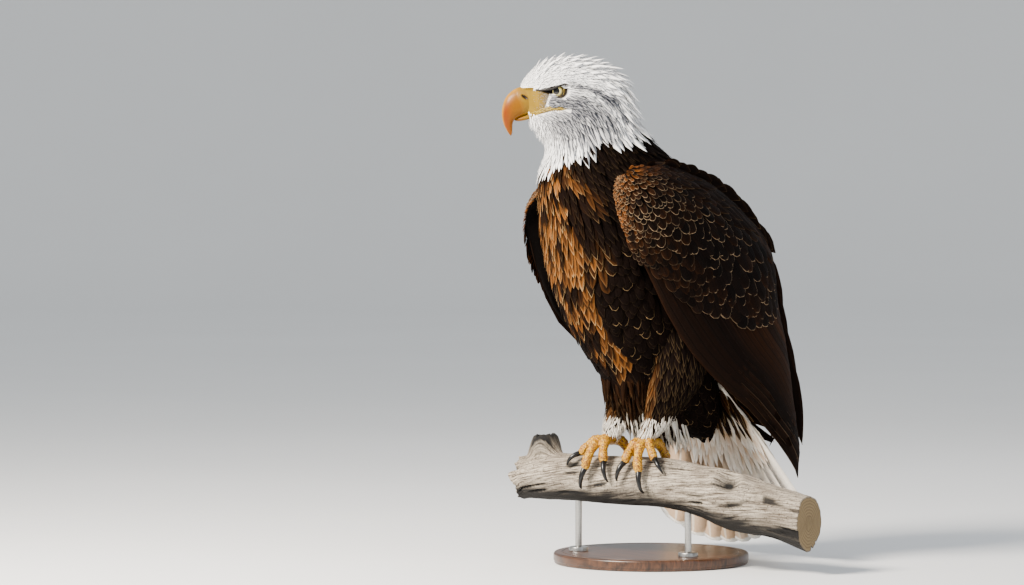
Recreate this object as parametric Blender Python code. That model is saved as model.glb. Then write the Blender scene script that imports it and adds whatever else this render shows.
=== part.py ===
"""Life-size bald eagle gripping a cut length of dead branch, carried by a plain display stand.

Metres, +Z up. The bird faces -Y and its left side is +X. The stand's round base rests on Z = 0 with its
centre at the origin. Each part is one closed solid, and neighbours stand GAP apart.
"""

import math

import bmesh
import bpy
from mathutils import Matrix, Vector

GAP = 0.0004  # clearance between neighbouring solids

# The stand: a round base and two rods that carry the branch.
BASE_RADIUS = 0.160
BASE_THICKNESS = 0.018
BASE_BEVEL = 0.003
ROD_RADIUS = 0.0055
ROD_STATIONS = (-0.085, 0.118)  # places along the branch that the rods hold
COLLAR_RADIUS = 0.016
COLLAR_HEIGHT = 0.007

# The perch: the branch's crest under the midpoint of the two feet.
PERCH = Vector((0.0, -0.055, 0.178))
BRANCH_HEADING = math.radians(25)  # the branch's turn from +X towards +Y
BRANCH_ENDS = (-0.205, 0.335)
BRANCH_RADIUS = 0.041
BRANCH_SIDES = 14
BRANCH_RINGS = 22
STUB_STATION = -0.146
STUB_LENGTH = 0.030
KNOT_STATION = 0.205
KNOT_RADIUS = 0.017

# The head, in millimetres about the midpoint between the eyes (forward, up).
MM = 0.001
EYE_FORWARD = 0.126  # ahead of the perch point
EYE_UP = 0.596
NECK_FORWARD = 0.062  # where the vertical axis that the head turns about stands
HEAD_TURN = math.radians(27)  # towards the bird's right
EYE_SIDE = 0.0300
EYE_RADIUS = 0.0115
BROW = (  # side, forward, up and radius in head millimetres, front to back
    (26.0, 27.0, 3.0, 2.0),
    (34.0, 15.0, 9.0, 4.2),
    (38.0, 3.0, 12.0, 5.0),
    (39.0, -9.0, 11.5, 4.6),
    (38.0, -20.0, 7.0, 2.4),
)

# Stations down the body, each with a dorsal and a ventral outline point, the half width and the share of the
# head's turn: (dorsal forward, dorsal up, ventral forward, ventral up, half width, turn share).
HEAD_STATIONS = (
    (0.183, 0.600, 0.173, 0.555, 0.0180, 1.0),
    (0.172, 0.618, 0.166, 0.542, 0.0270, 1.0),
    (0.149, 0.638, 0.155, 0.529, 0.0360, 1.0),
    (0.114, 0.648, 0.146, 0.514, 0.0430, 1.0),
    (0.075, 0.646, 0.141, 0.499, 0.0485, 1.0),
    (0.036, 0.632, 0.143, 0.484, 0.0535, 1.0),
    (0.009, 0.604, 0.148, 0.470, 0.0580, 0.95),
    (-0.003, 0.572, 0.152, 0.456, 0.0630, 0.85),
)
NECK_STATIONS = (
    (-0.015, 0.542, 0.154, 0.439, 0.0710, 0.62),
    (-0.040, 0.514, 0.154, 0.415, 0.0840, 0.35),
)
TRUNK_STATIONS = (
    (-0.084, 0.476, 0.151, 0.377, 0.1060, 0.15),
    (-0.134, 0.424, 0.145, 0.332, 0.1180, 0.0),
    (-0.170, 0.360, 0.134, 0.280, 0.1230, 0.0),
    (-0.188, 0.294, 0.115, 0.226, 0.1210, 0.0),
    (-0.193, 0.234, 0.086, 0.172, 0.1110, 0.0),
    (-0.190, 0.180, 0.046, 0.124, 0.0860, 0.0),
    (-0.188, 0.138, -0.002, 0.084, 0.0720, 0.0),
    (-0.186, 0.102, -0.060, 0.054, 0.0590, 0.0),
    (-0.182, 0.066, -0.112, 0.034, 0.0430, 0.0),
    (-0.176, 0.036, -0.146, 0.022, 0.0240, 0.0),
)
BODY_SIDES = 22
RINGS_PER_STATION = 1.5
HEAD_RINGS_PER_STATION = 2.1

# The bill in head millimetres: (ridge forward, ridge up, edge forward, edge up, half width).
UPPER_BILL = (
    (52.0, 4.0, 30.0, -34.0, 17.0),
    (62.0, 2.0, 44.0, -40.0, 16.4),
    (72.5, -4.0, 55.0, -44.0, 15.0),
    (81.5, -14.0, 63.5, -47.5, 12.8),
    (87.0, -28.0, 68.5, -51.5, 10.2),
    (88.5, -42.0, 71.0, -57.0, 7.4),
    (86.0, -56.0, 72.5, -64.0, 4.8),
    (80.5, -67.5, 73.5, -70.0, 2.4),
    (76.2, -73.6, 75.0, -74.0, 0.7),
)
LOWER_BILL = (
    (24.0, -35.6, 26.0, -49.0, 14.0),
    (38.0, -40.2, 38.0, -52.0, 12.6),
    (51.0, -45.0, 50.0, -54.6, 10.2),
    (61.0, -49.4, 60.0, -55.6, 6.8),
    (66.5, -52.2, 66.0, -54.8, 2.6),
)
BILL_SIDES = 14

# The folded wing, laid out along a line from the bend of the wing to the longest primary's tip.
WRIST = {1: (0.099, 0.463), -1: (0.096, 0.449)}  # forward, up; by side, the left first
WING_TIP = (-0.318, -0.054)
# (share along, lower edge, upper edge, reach from the midline, upper edge's share of the reach, thickness)
WING_STATIONS = (
    (0.000, -0.008, 0.010, 0.112, 0.94, 0.010),
    (0.010, -0.023, 0.032, 0.124, 0.88, 0.020),
    (0.030, -0.036, 0.050, 0.136, 0.82, 0.030),
    (0.080, -0.056, 0.090, 0.148, 0.66, 0.040),
    (0.150, -0.068, 0.126, 0.155, 0.50, 0.044),
    (0.240, -0.078, 0.168, 0.158, 0.32, 0.044),
    (0.350, -0.086, 0.198, 0.157, 0.18, 0.040),
    (0.480, -0.082, 0.209, 0.150, 0.12, 0.034),
    (0.600, -0.062, 0.166, 0.139, 0.10, 0.026),
    (0.710, -0.036, 0.135, 0.123, 0.10, 0.019),
    (0.857, -0.014, 0.084, 0.099, 0.16, 0.011),
    (0.935, -0.006, 0.055, 0.082, 0.34, 0.007),
    (1.000, -0.002, 0.006, 0.062, 0.90, 0.003),
)
WING_POINTS = 7  # across each face
WING_EDGE = 0.0011
WING_TIPS = (0.534, 0.710, 0.857, 0.935, 1.0)  # where stacked feather tips end
TIP_DEPTH = 0.016  # how far the rear outline steps in after a tip
WING_DROOP = {1: 0.0, -1: 0.027}  # how much lower the right wing's edge hangs
DROOP_SHARE = 0.31

# The fanned tail.
TAIL_ROOT = (-0.125, 0.191)  # forward, up; the point inside the body that the fan spreads from
TAIL_LENGTH = 0.383
TAIL_LEAN = math.radians(24)  # backwards from straight down
TAIL_SPREAD = (math.radians(-31), math.radians(30))  # from the bird's right to its left
TAIL_FEATHERS = 12
TAIL_THICKNESS = 0.007
TAIL_DISH = 0.022  # how far the outer feathers bend forward
TAIL_RINGS = (0.105, 0.19, 0.28)  # distances from the root

# A leg: its feathered thigh as (side, forward, up, radius), then the bare tarsus.
THIGH_STATIONS = (
    (0.060, -0.050, 0.245, 0.040),
    (0.066, -0.058, 0.205, 0.052),
    (0.068, -0.064, 0.160, 0.052),
    (0.066, -0.064, 0.118, 0.046),
    (0.060, -0.060, 0.082, 0.038),
    (0.056, -0.058, 0.056, 0.028),
)
THIGH_SIDES = 14
THIGH_RINGS = 7
ANKLE = (0.050, -0.036, 0.074)  # the tarsus's upper end, inside the thigh's feathers
TARSUS_RADIUS = 0.0098
STANCE = 0.040  # half the distance between the feet, along the branch
FOOT_HEADING = {1: math.radians(-14), -1: math.radians(36)}  # each middle toe's turn
TOE_SPLAY = math.radians(38)
HIND_HEADING = {1: math.radians(206), -1: math.radians(216)}
TOES = {  # name: (splay share, length of the toe, root radius, length of its talon)
    "inner": (1.0, 0.042, 0.0092, 0.032),
    "middle": (0.0, 0.053, 0.0090, 0.032),
    "outer": (-1.0, 0.044, 0.0085, 0.030),
    "hind": (None, 0.038, 0.0094, 0.040),
}
TOE_SIDES = 7
TOE_RINGS = 6
TALON_SIDES = 6
TALON_RINGS = 5
FOOT_ANGLE = -0.08  # how far round the branch the foot stands, from the crest towards the front
FOOT_LIFT = 0.014  # how far the toes' roots stand off the bark

COLOURS = {  # name: (linear colour, roughness, metallic)
    "white_plumage": ((0.80, 0.79, 0.75), 0.80, 0.0),
    "tail_plumage": ((0.78, 0.76, 0.70), 0.75, 0.0),
    "brown_plumage": ((0.040, 0.022, 0.013), 0.75, 0.0),
    "wing_plumage": ((0.030, 0.018, 0.012), 0.70, 0.0),
    "bill_horn": ((0.80, 0.40, 0.05), 0.35, 0.0),
    "foot_scale": ((0.80, 0.42, 0.03), 0.50, 0.0),
    "talon_horn": ((0.012, 0.012, 0.014), 0.25, 0.0),
    "eye_glass": ((0.60, 0.50, 0.16), 0.08, 0.0),
    "dead_wood": ((0.42, 0.35, 0.28), 0.85, 0.0),
    "stand_wood": ((0.030, 0.020, 0.015), 0.45, 0.0),
    "stand_steel": ((0.30, 0.30, 0.31), 0.35, 1.0),
}


# ---------------------------------------------------------------- small helpers


def clear_scene():
    for old in list(bpy.data.objects):
        bpy.data.objects.remove(old)


def material(name):
    """The named Principled material, made once."""
    found = bpy.data.materials.get(name)
    if found:
        return found
    made = bpy.data.materials.new(name)
    made.use_nodes = True
    shader = made.node_tree.nodes["Principled BSDF"]
    colour, roughness, metallic = COLOURS[name]
    shader.inputs["Base Color"].default_value = (*colour, 1.0)
    shader.inputs["Roughness"].default_value = roughness
    shader.inputs["Metallic"].default_value = metallic
    return made


def along(rows, share):
    """The row at this share of a list of equal rows, on a smooth curve through them."""
    place = min(max(share, 0.0), 1.0) * (len(rows) - 1)
    first = min(int(place), len(rows) - 2)
    t = place - first
    before = rows[max(first - 1, 0)]
    start, end = rows[first], rows[first + 1]
    after = rows[min(first + 2, len(rows) - 1)]
    return tuple(
        0.5 * (2 * b + (c - a) * t + (2 * a - 5 * b + 4 * c - d) * t**2 + (3 * b - a - 3 * c + d) * t**3)
        for a, b, c, d in zip(before, start, end, after)
    )


def at_share(rows, share):
    """The row at this value of the rows' first column, on the same kind of curve."""
    last = len(rows) - 1
    index = next((i for i in range(last) if share <= rows[i + 1][0]), last - 1)
    t = (share - rows[index][0]) / (rows[index + 1][0] - rows[index][0])
    return along(rows, (index + t) / last)[1:]


def bird(side, forward, up):
    """A point given from the perch point, in the bird's own directions."""
    return PERCH + Vector((side, -forward, up))


def turned(side, forward, up, share=1.0):
    """A point of the bird carried round by this share of the head's turn."""
    spin = Matrix.Rotation(-HEAD_TURN * share, 3, "Z")
    pivot = bird(0, NECK_FORWARD, 0)
    return pivot + spin @ (bird(side, forward, up) - pivot)


def head(side, forward, up):
    """A point given in millimetres from the midpoint between the eyes."""
    return turned(side * MM, EYE_FORWARD + forward * MM, EYE_UP + up * MM)


def finished(name, shape, surface, smooth_angle):
    """A mesh object made from a bmesh, in triangles that face out."""
    bmesh.ops.recalc_face_normals(shape, faces=shape.faces)
    bmesh.ops.triangulate(shape, faces=shape.faces)
    mesh = bpy.data.meshes.new(name)
    shape.to_mesh(mesh)
    shape.free()
    mesh.shade_smooth()
    mesh.set_sharp_from_angle(angle=smooth_angle)
    mesh.materials.append(material(surface))
    made = bpy.data.objects.new(name, mesh)
    bpy.context.scene.collection.objects.link(made)
    return made


def solid(name, rings, surface, smooth_angle=math.radians(50)):
    """A closed object skinned over rings of equal length, with a flat fan at each end."""
    shape = bmesh.new()
    rows = [[shape.verts.new(point) for point in ring] for ring in rings]
    count = len(rings[0])
    for lower, upper in zip(rows, rows[1:]):
        for i in range(count):
            j = (i + 1) % count
            shape.faces.new((lower[i], lower[j], upper[j], upper[i]))
    for row in (rows[0], rows[-1]):
        centre = shape.verts.new(sum((v.co for v in row), Vector()) / count)
        for i in range(count):
            shape.faces.new((row[i], row[(i + 1) % count], centre))
    return finished(name, shape, surface, smooth_angle)


def slab(name, front, back, surface, smooth_angle=math.radians(50)):
    """A closed thin object between two grids of points that face each other."""
    shape = bmesh.new()
    faces = [[[shape.verts.new(point) for point in row] for row in grid] for grid in (front, back)]
    rows, columns = len(front), len(front[0])
    for grid in faces:
        for i in range(rows - 1):
            for j in range(columns - 1):
                shape.faces.new((grid[i][j], grid[i][j + 1], grid[i + 1][j + 1], grid[i + 1][j]))
    rim = [(0, j) for j in range(columns)]
    rim += [(i, columns - 1) for i in range(1, rows)]
    rim += [(rows - 1, j) for j in range(columns - 2, -1, -1)]
    rim += [(i, 0) for i in range(rows - 2, 0, -1)]
    for (a, b), (c, d) in zip(rim, rim[1:] + rim[:1]):
        shape.faces.new((faces[0][a][b], faces[0][c][d], faces[1][c][d], faces[1][a][b]))
    return finished(name, shape, surface, smooth_angle)


def helper(made):
    """Marks an object that only shapes others."""
    made.hide_render = True
    made.display_type = "WIRE"
    return made


def clearance_of(made):
    """A hidden copy of an object's own mesh, grown by GAP, for cutting its neighbours."""
    name = "cut_" + made.name
    found = bpy.data.objects.get(name)
    if found:
        return found
    grown = bmesh.new()
    grown.from_mesh(made.data)
    grown.normal_update()
    for vertex in grown.verts:
        vertex.co += vertex.normal * GAP
    mesh = bpy.data.meshes.new(name)
    grown.to_mesh(mesh)
    grown.free()
    cutter = bpy.data.objects.new(name, mesh)
    bpy.context.scene.collection.objects.link(cutter)
    return helper(cutter)


def combine(made, other, operation):
    boolean = made.modifiers.new(f"{operation} {other.name}", "BOOLEAN")
    boolean.operation = operation
    boolean.solver = "EXACT"
    boolean.object = other


def keep_clear(made, *neighbours):
    for neighbour in neighbours:
        combine(made, clearance_of(neighbour), "DIFFERENCE")


def tube_rings(centres, radii, sides, upright=Vector((0, 0, 1))):
    """Round rings square to a path, kept from twisting by an upright direction."""
    rings = []
    for i, (centre, radius) in enumerate(zip(centres, radii)):
        ahead = centres[min(i + 1, len(centres) - 1)] - centres[max(i - 1, 0)]
        ahead.normalize()
        right = ahead.cross(upright).normalized()
        above = right.cross(ahead)
        rings.append(
            [
                centre + right * (math.cos(a) * radius) + above * (math.sin(a) * radius)
                for a in (2 * math.pi * k / sides for k in range(sides))
            ]
        )
    return rings


# ---------------------------------------------------------------- head, neck and trunk


def bump(distance, size):
    return math.exp(-((distance / size) ** 2))


def head_relief(side, forward, up):
    """How far the eye's socket lies back and the cheek stands out."""
    ahead, above = forward - EYE_FORWARD, up - EYE_UP
    socket = 0.0045 * bump(ahead - 0.003, 0.0165) * bump(above + 0.002, 0.0105)
    cheek = 0.0035 * bump(ahead + 0.035, 0.024) * bump(above + 0.030, 0.020)
    near_side = min(abs(side) / 0.022, 1.0) ** 2
    return math.copysign(1.0, side) * near_side * (cheek - socket)


def brow(side):
    """The bony ridge that shades an eye."""
    centres = [head(side * x, forward, up) for x, forward, up, _ in BROW]
    return solid(f"brow_{side}", tube_rings(centres, [row[3] * MM for row in BROW], 7), "white_plumage")


def body_ring(share):
    """One section of the body between its dorsal and ventral outlines."""
    stations = HEAD_STATIONS + NECK_STATIONS + TRUNK_STATIONS
    top_forward, top_up, low_forward, low_up, half_width, turn = along(stations, share)
    ring = []
    for k in range(BODY_SIDES):
        angle = 2 * math.pi * k / BODY_SIDES
        height = 0.5 + 0.5 * math.cos(angle)
        side = half_width * math.copysign(abs(math.sin(angle)) ** 0.92, math.sin(angle))
        forward = low_forward + (top_forward - low_forward) * height
        up = low_up + (top_up - low_up) * height
        side += head_relief(side, forward, up)
        ring.append(turned(side, forward, up, turn))
    return ring


def body_part(name, first, last, per_station, surface):
    """The sections from one station to another, less a thin cut at each end."""
    total = len(HEAD_STATIONS + NECK_STATIONS + TRUNK_STATIONS) - 1
    cut = 0.018
    count = max(2, round((last - first) * per_station))
    steps = [first + cut + (last - first - 2 * cut) * i / count for i in range(count + 1)]
    return solid(name, [body_ring(step / total) for step in steps], surface)


def build_body():
    neck_start = len(HEAD_STATIONS) - 0.5
    trunk_start = len(HEAD_STATIONS + NECK_STATIONS) - 0.4
    end = len(HEAD_STATIONS + NECK_STATIONS + TRUNK_STATIONS) - 1
    return (
        body_part("head", 0, neck_start, HEAD_RINGS_PER_STATION, "white_plumage"),
        body_part("neck", neck_start, trunk_start, RINGS_PER_STATION * 2, "brown_plumage"),
        body_part("trunk", trunk_start, end, RINGS_PER_STATION, "brown_plumage"),
    )


def bill_half(name, stations, ring_count):
    """An upper or lower bill, skinned between its ridge and its cutting edge."""
    rings = []
    for i in range(ring_count + 1):
        top_forward, top_up, low_forward, low_up, half_width = along(stations, i / ring_count)
        ring = []
        for k in range(BILL_SIDES):
            angle = 2 * math.pi * k / BILL_SIDES
            height = 0.5 + 0.5 * math.cos(angle)
            side = half_width * math.copysign(abs(math.sin(angle)) ** 0.85, math.sin(angle))
            side *= 0.80 + 0.25 * (1 - height)
            ring.append(
                head(side, low_forward + (top_forward - low_forward) * height, low_up + (top_up - low_up) * height)
            )
        rings.append(ring)
    return solid(name, rings, "bill_horn")


def eye(name, side):
    """A glass eye set in its socket."""
    shape = bmesh.new()
    bmesh.ops.create_uvsphere(shape, u_segments=12, v_segments=7, radius=EYE_RADIUS)
    mesh = bpy.data.meshes.new(name)
    shape.to_mesh(mesh)
    shape.free()
    mesh.shade_smooth()
    mesh.materials.append(material("eye_glass"))
    made = bpy.data.objects.new(name, mesh)
    bpy.context.scene.collection.objects.link(made)
    mesh.transform(Matrix.Translation(turned(side * EYE_SIDE, EYE_FORWARD, EYE_UP)))
    return made


# ---------------------------------------------------------------- wings and tail


def tip_notch(share):
    """How far the rear outline lies inside the line through the stacked feather tips."""
    if share <= WING_TIPS[0]:
        return 0.0
    last, coming = next((a, b) for a, b in zip(WING_TIPS, WING_TIPS[1:]) if share <= b)
    return TIP_DEPTH * (coming - share) / (coming - last) * (1.4 - share)


def wing_shares():
    """Sections along the wing, paired at each feather tip so that the step stays sharp."""
    plain = [0.0, 0.01, 0.03, 0.08, 0.13, 0.19, 0.26, 0.33, 0.40, 0.47, 0.59, 0.65, 0.78, 0.97, 1.0]
    pairs = [share for tip in WING_TIPS[:-1] for share in (tip, tip + 0.012)]
    return sorted(plain + pairs)


def wing_point(side, share, across, inner):
    """A point of the wing's outer or inner face; across runs from 0 at the lower edge to 1 at the upper."""
    low, high, reach, edge_share, thickness = at_share(WING_STATIONS, share)
    low -= WING_DROOP[side] * bump(share - DROOP_SHARE, 0.17)
    high -= tip_notch(share)
    offset = low + (high - low) * across
    start = Vector(WRIST[side])
    run = Vector(WING_TIP) - start
    unit = run.normalized()
    spread = Vector((unit.y, -unit.x))  # towards the back and up
    spot = start + run * share + spread * offset
    if offset > 0:
        fall = 1.0 - edge_share**2
        out = reach * math.sqrt(max(1.0 - fall * (offset / high) ** 2, 0.0))
    else:
        out = reach * (1.0 - 0.14 * (offset / low) ** 2)
    edge = 1.0 - (2.0 * across - 1.0) ** 4
    out -= (WING_EDGE + thickness * edge) if inner else 0.0
    return bird(side * out, spot.x, spot.y)


def wing(name, side):
    def face(inner):
        return [
            [wing_point(side, share, k / (WING_POINTS - 1), inner) for k in range(WING_POINTS)]
            for share in wing_shares()
        ]

    return slab(name, face(False), face(True), "wing_plumage")


def tail_point(turn, reach, back):
    """A point of the tail's fan: turned from its middle line, at this distance from the root."""
    middle = 0.5 * (TAIL_SPREAD[0] + TAIL_SPREAD[1])
    half = 0.5 * (TAIL_SPREAD[1] - TAIL_SPREAD[0])
    side, drop = reach * math.sin(turn), reach * math.cos(turn)
    bend = TAIL_DISH * ((turn - middle) / half) ** 2 * (reach / TAIL_LENGTH) ** 2
    forward = TAIL_ROOT[0] - drop * math.sin(TAIL_LEAN) + bend * math.cos(TAIL_LEAN)
    up = TAIL_ROOT[1] - drop * math.cos(TAIL_LEAN) - bend * math.sin(TAIL_LEAN)
    spread = TAIL_THICKNESS * (1.0 - 0.62 * reach / TAIL_LENGTH) * (0.5 if back else -0.5)
    return bird(side, forward - spread * math.cos(TAIL_LEAN), up + spread * math.sin(TAIL_LEAN))


def tail():
    """A fan whose end is scalloped by the rounded tips of its feathers."""
    steps = TAIL_FEATHERS * 3
    fronts, backs = [], []
    for i in range(steps + 1):
        turn = TAIL_SPREAD[0] + (TAIL_SPREAD[1] - TAIL_SPREAD[0]) * i / steps
        lobe = abs(math.sin(math.pi * (i / steps) * TAIL_FEATHERS)) ** 0.6
        end = TAIL_LENGTH * (0.96 + 0.04 * lobe)
        reaches = (*TAIL_RINGS, end)
        fronts.append([tail_point(turn, reach, False) for reach in reaches])
        backs.append([tail_point(turn, reach, True) for reach in reaches])
    return slab("tail", fronts, backs, "tail_plumage")


# ---------------------------------------------------------------- the branch


def branch_direction():
    return Vector((math.cos(BRANCH_HEADING), math.sin(BRANCH_HEADING), 0.0))


def branch_front():
    """Level, square to the branch, on the side that the bird faces."""
    return Vector((math.sin(BRANCH_HEADING), -math.cos(BRANCH_HEADING), 0.0))


def branch_size(station):
    """The branch's radius: thicker towards the bird's left, with a swelling at the knot."""
    return BRANCH_RADIUS + 0.012 * station + 0.004 * bump(station - KNOT_STATION, 0.06)


def branch_centre(station):
    """The branch's middle line: level under the feet and bowed down towards both ends."""
    bow = -0.40 * max(station - 0.06, 0.0) ** 1.6 - 0.15 * max(-station - 0.10, 0.0) ** 1.5
    rise = bow - 0.02 * station * bump(station, 0.2)
    return PERCH + branch_direction() * station + Vector((0, 0, rise - branch_size(station)))


def on_branch(station, angle, height):
    """A point at this height over the bark; the angle runs from the crest down the front."""
    out = Vector((0, 0, math.cos(angle))) + branch_front() * math.sin(angle)
    return branch_centre(station) + out * (branch_size(station) + height)


def bark_height(station, angle):
    """Shallow flutes, a twist of the grain and a hollow knot, all at or under the round form near the feet."""
    twist = angle + 5.0 * station
    flutes = 0.5 * math.sin(3 * twist + 0.6) + 0.3 * math.sin(5 * twist + 9.0 * station) - 0.8
    far = min(max(abs(station) - 0.08, 0.0) / 0.06, 1.0)
    hollow = bump(math.hypot(station - KNOT_STATION, 0.045 * (angle - 0.75)), KNOT_RADIUS)
    rim = bump(math.hypot(station - KNOT_STATION, 0.045 * (angle - 0.75)) - 1.5 * KNOT_RADIUS, 0.5 * KNOT_RADIUS)
    return 0.0024 * flutes + far * (0.0015 * math.sin(40 * station) - 0.011 * hollow + 0.003 * rim)


def branch():
    first, last = BRANCH_ENDS
    rings = []
    for i in range(BRANCH_RINGS + 1):
        station = first + (last - first) * i / BRANCH_RINGS
        angles = (2 * math.pi * k / BRANCH_SIDES for k in range(BRANCH_SIDES))
        rings.append([on_branch(station, angle, bark_height(station, angle)) for angle in angles])
    made = solid("perch_branch", rings, "dead_wood", math.radians(60))
    combine(made, helper(broken_stub()), "UNION")
    return made


def broken_stub():
    """The snapped side shoot on the crest, beyond the bird's right foot."""
    steps = (0.0, 0.45, 0.75, 1.0)
    centres = [on_branch(STUB_STATION - 0.008 * t, -0.16, -0.020 + (STUB_LENGTH + 0.020) * t) for t in steps]
    return solid("stub", tube_rings(centres, (0.034, 0.029, 0.021, 0.011), 9, branch_front()), "dead_wood")


# ---------------------------------------------------------------- legs, toes and talons


def thigh(name, side):
    rows = [along(THIGH_STATIONS, i / THIGH_RINGS) for i in range(THIGH_RINGS + 1)]
    centres = [bird(side * x, forward, up) for x, forward, up, _ in rows]
    return solid(name, tube_rings(centres, [row[3] for row in rows], THIGH_SIDES, Vector((1, 0, 0))), "brown_plumage")


def foot_station(side):
    return side * STANCE


def tarsus(name, side):
    x, forward, up = ANKLE
    top = bird(side * x, forward, up)
    end = on_branch(foot_station(side), FOOT_ANGLE, 0.008 + FOOT_LIFT)
    centres = [top, top.lerp(end, 0.35), top.lerp(end, 0.72), end]
    radii = (TARSUS_RADIUS, TARSUS_RADIUS, TARSUS_RADIUS * 1.12, TARSUS_RADIUS * 0.9)
    return solid(name, tube_rings(centres, radii, 10, Vector((1, 0, 0))), "foot_scale")


def toe_heading(side, toe):
    """The toe's direction over the bark, from straight down the front towards the bird's right."""
    splay = TOES[toe][0]
    if splay is None:
        return HIND_HEADING[side]
    return FOOT_HEADING[side] + side * splay * TOE_SPLAY


def toe_path_point(side, toe, run, height):
    """A point at this distance along a toe and this height over the bark."""
    heading = toe_heading(side, toe)
    station = foot_station(side) - run * math.sin(heading)
    angle = FOOT_ANGLE + run * math.cos(heading) / branch_size(station)
    return on_branch(station, angle, height)


def toe_radius(toe, share):
    """Pads swell between the joints, and the toe thins towards its talon."""
    root = TOES[toe][2]
    pads = 0.07 * math.sin(2 * math.pi * (2.5 * share + 0.1))
    return root * (1.0 - 0.26 * share + pads)


def toe_height(toe, share):
    """The toe's arch: high at its root, over the middle joint and down to the talon."""
    lift = FOOT_LIFT * (1.0 - share) + 0.0075 * math.sin(math.pi * share) + 0.0035 * share
    return toe_radius(toe, share) + 0.0006 + lift


def toe(name, side, kind):
    length = TOES[kind][1]
    shares = [i / TOE_RINGS for i in range(TOE_RINGS + 1)]
    centres = [toe_path_point(side, kind, length * s, toe_height(kind, s)) for s in shares]
    radii = [toe_radius(kind, s) for s in shares]
    rings = tube_rings(centres, radii, TOE_SIDES, centres[0] - branch_centre(foot_station(side)))
    return solid(name, rings, "foot_scale")


def talon(name, side, kind):
    """A claw that curves from the toe's end down to the bark."""
    length, reach = TOES[kind][1], TOES[kind][3]
    start_height = toe_height(kind, 1.0)
    centres, radii = [], []
    for i in range(TALON_RINGS + 1):
        share = i / TALON_RINGS
        bend = share * math.radians(78)
        run = length + 3 * GAP + reach * 0.72 * math.sin(bend)
        height = start_height + 0.0035 * math.sin(math.pi * share) - (start_height - 0.0014) * share**1.7
        centres.append(toe_path_point(side, kind, run, height))
        radii.append(0.66 * toe_radius(kind, 1.0) * (1.0 - share) ** 0.75 + 0.0006)
    rings = tube_rings(centres, radii, TALON_SIDES, centres[0] - branch_centre(foot_station(side)))
    return solid(name, rings, "talon_horn")


def foot(name, side):
    """The tarsus and four toes as one piece, and the toes' own forms by name."""
    made = tarsus(name, side)
    toes = {kind: helper(toe(f"{name}_{kind}_toe", side, kind)) for kind in TOES}
    for form in toes.values():
        combine(made, form, "UNION")
    return made, toes


# ---------------------------------------------------------------- the stand


def turned_round(name, profile, surface, sides):
    """A round piece from (radius, height) pairs, top to bottom."""
    rings = [
        [Vector((r * math.cos(a), r * math.sin(a), z)) for a in (2 * math.pi * k / sides for k in range(sides))]
        for r, z in profile
    ]
    return solid(name, rings, surface, math.radians(30))


def stand_base():
    edge, top = BASE_RADIUS, BASE_THICKNESS
    profile = (
        (edge - BASE_BEVEL, top),
        (edge, top - BASE_BEVEL),
        (edge, BASE_BEVEL * 0.5),
        (edge - BASE_BEVEL * 0.5, 0.0),
    )
    return turned_round("stand_base", profile, "stand_wood", 40)


def stand_rod(name, station):
    """A rod with a collar on the base, trimmed to the branch's underside."""
    foot_level = BASE_THICKNESS + GAP
    under = branch_centre(station)
    profile = (
        (ROD_RADIUS, under.z),
        (ROD_RADIUS, foot_level + COLLAR_HEIGHT),
        (COLLAR_RADIUS * 0.85, foot_level + COLLAR_HEIGHT),
        (COLLAR_RADIUS, foot_level + COLLAR_HEIGHT * 0.7),
        (COLLAR_RADIUS, foot_level),
    )
    made = turned_round(name, profile, "stand_steel", 14)
    made.data.transform(Matrix.Translation((under.x, under.y, 0.0)))
    return made


# ---------------------------------------------------------------- the whole


def main():
    clear_scene()
    head_part, neck_part, trunk = build_body()
    upper = bill_half("bill_upper", UPPER_BILL, 12)
    lower = bill_half("bill_lower", LOWER_BILL, 6)
    perch = branch()
    fan = tail()
    keep_clear(lower, upper)
    for side in (1, -1):
        combine(head_part, helper(brow(side)), "UNION")
    keep_clear(head_part, upper, lower)
    keep_clear(fan, trunk)
    for label, side in (("left", 1), ("right", -1)):
        keep_clear(head_part, eye(f"eye_{label}", side))
        folded = wing(f"wing_{label}", side)
        leg = thigh(f"leg_{label}", side)
        bare_foot, toes = foot(f"foot_{label}", side)
        keep_clear(trunk, folded)
        keep_clear(neck_part, folded)
        keep_clear(leg, trunk, folded, bare_foot)
        keep_clear(fan, folded)
        keep_clear(bare_foot, perch)
        for kind, form in toes.items():
            keep_clear(talon(f"talon_{label}_{kind}", side, kind), perch, form)
    stand_base()
    for number, station in enumerate(ROD_STATIONS, 1):
        keep_clear(stand_rod(f"stand_rod_{number}", station), perch)


main()
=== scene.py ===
"""Looks of the life-size bald eagle on its cut branch: one skin, a coat of solid feather vanes, horn, eyes,
dead wood and the display stand. Metres, +Z up; the bird faces -Y and its left side is +X.
"""

import math

import bmesh
import bpy
import numpy as np
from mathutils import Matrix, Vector
from mathutils.bvhtree import BVHTree
from mathutils.kdtree import KDTree


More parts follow.
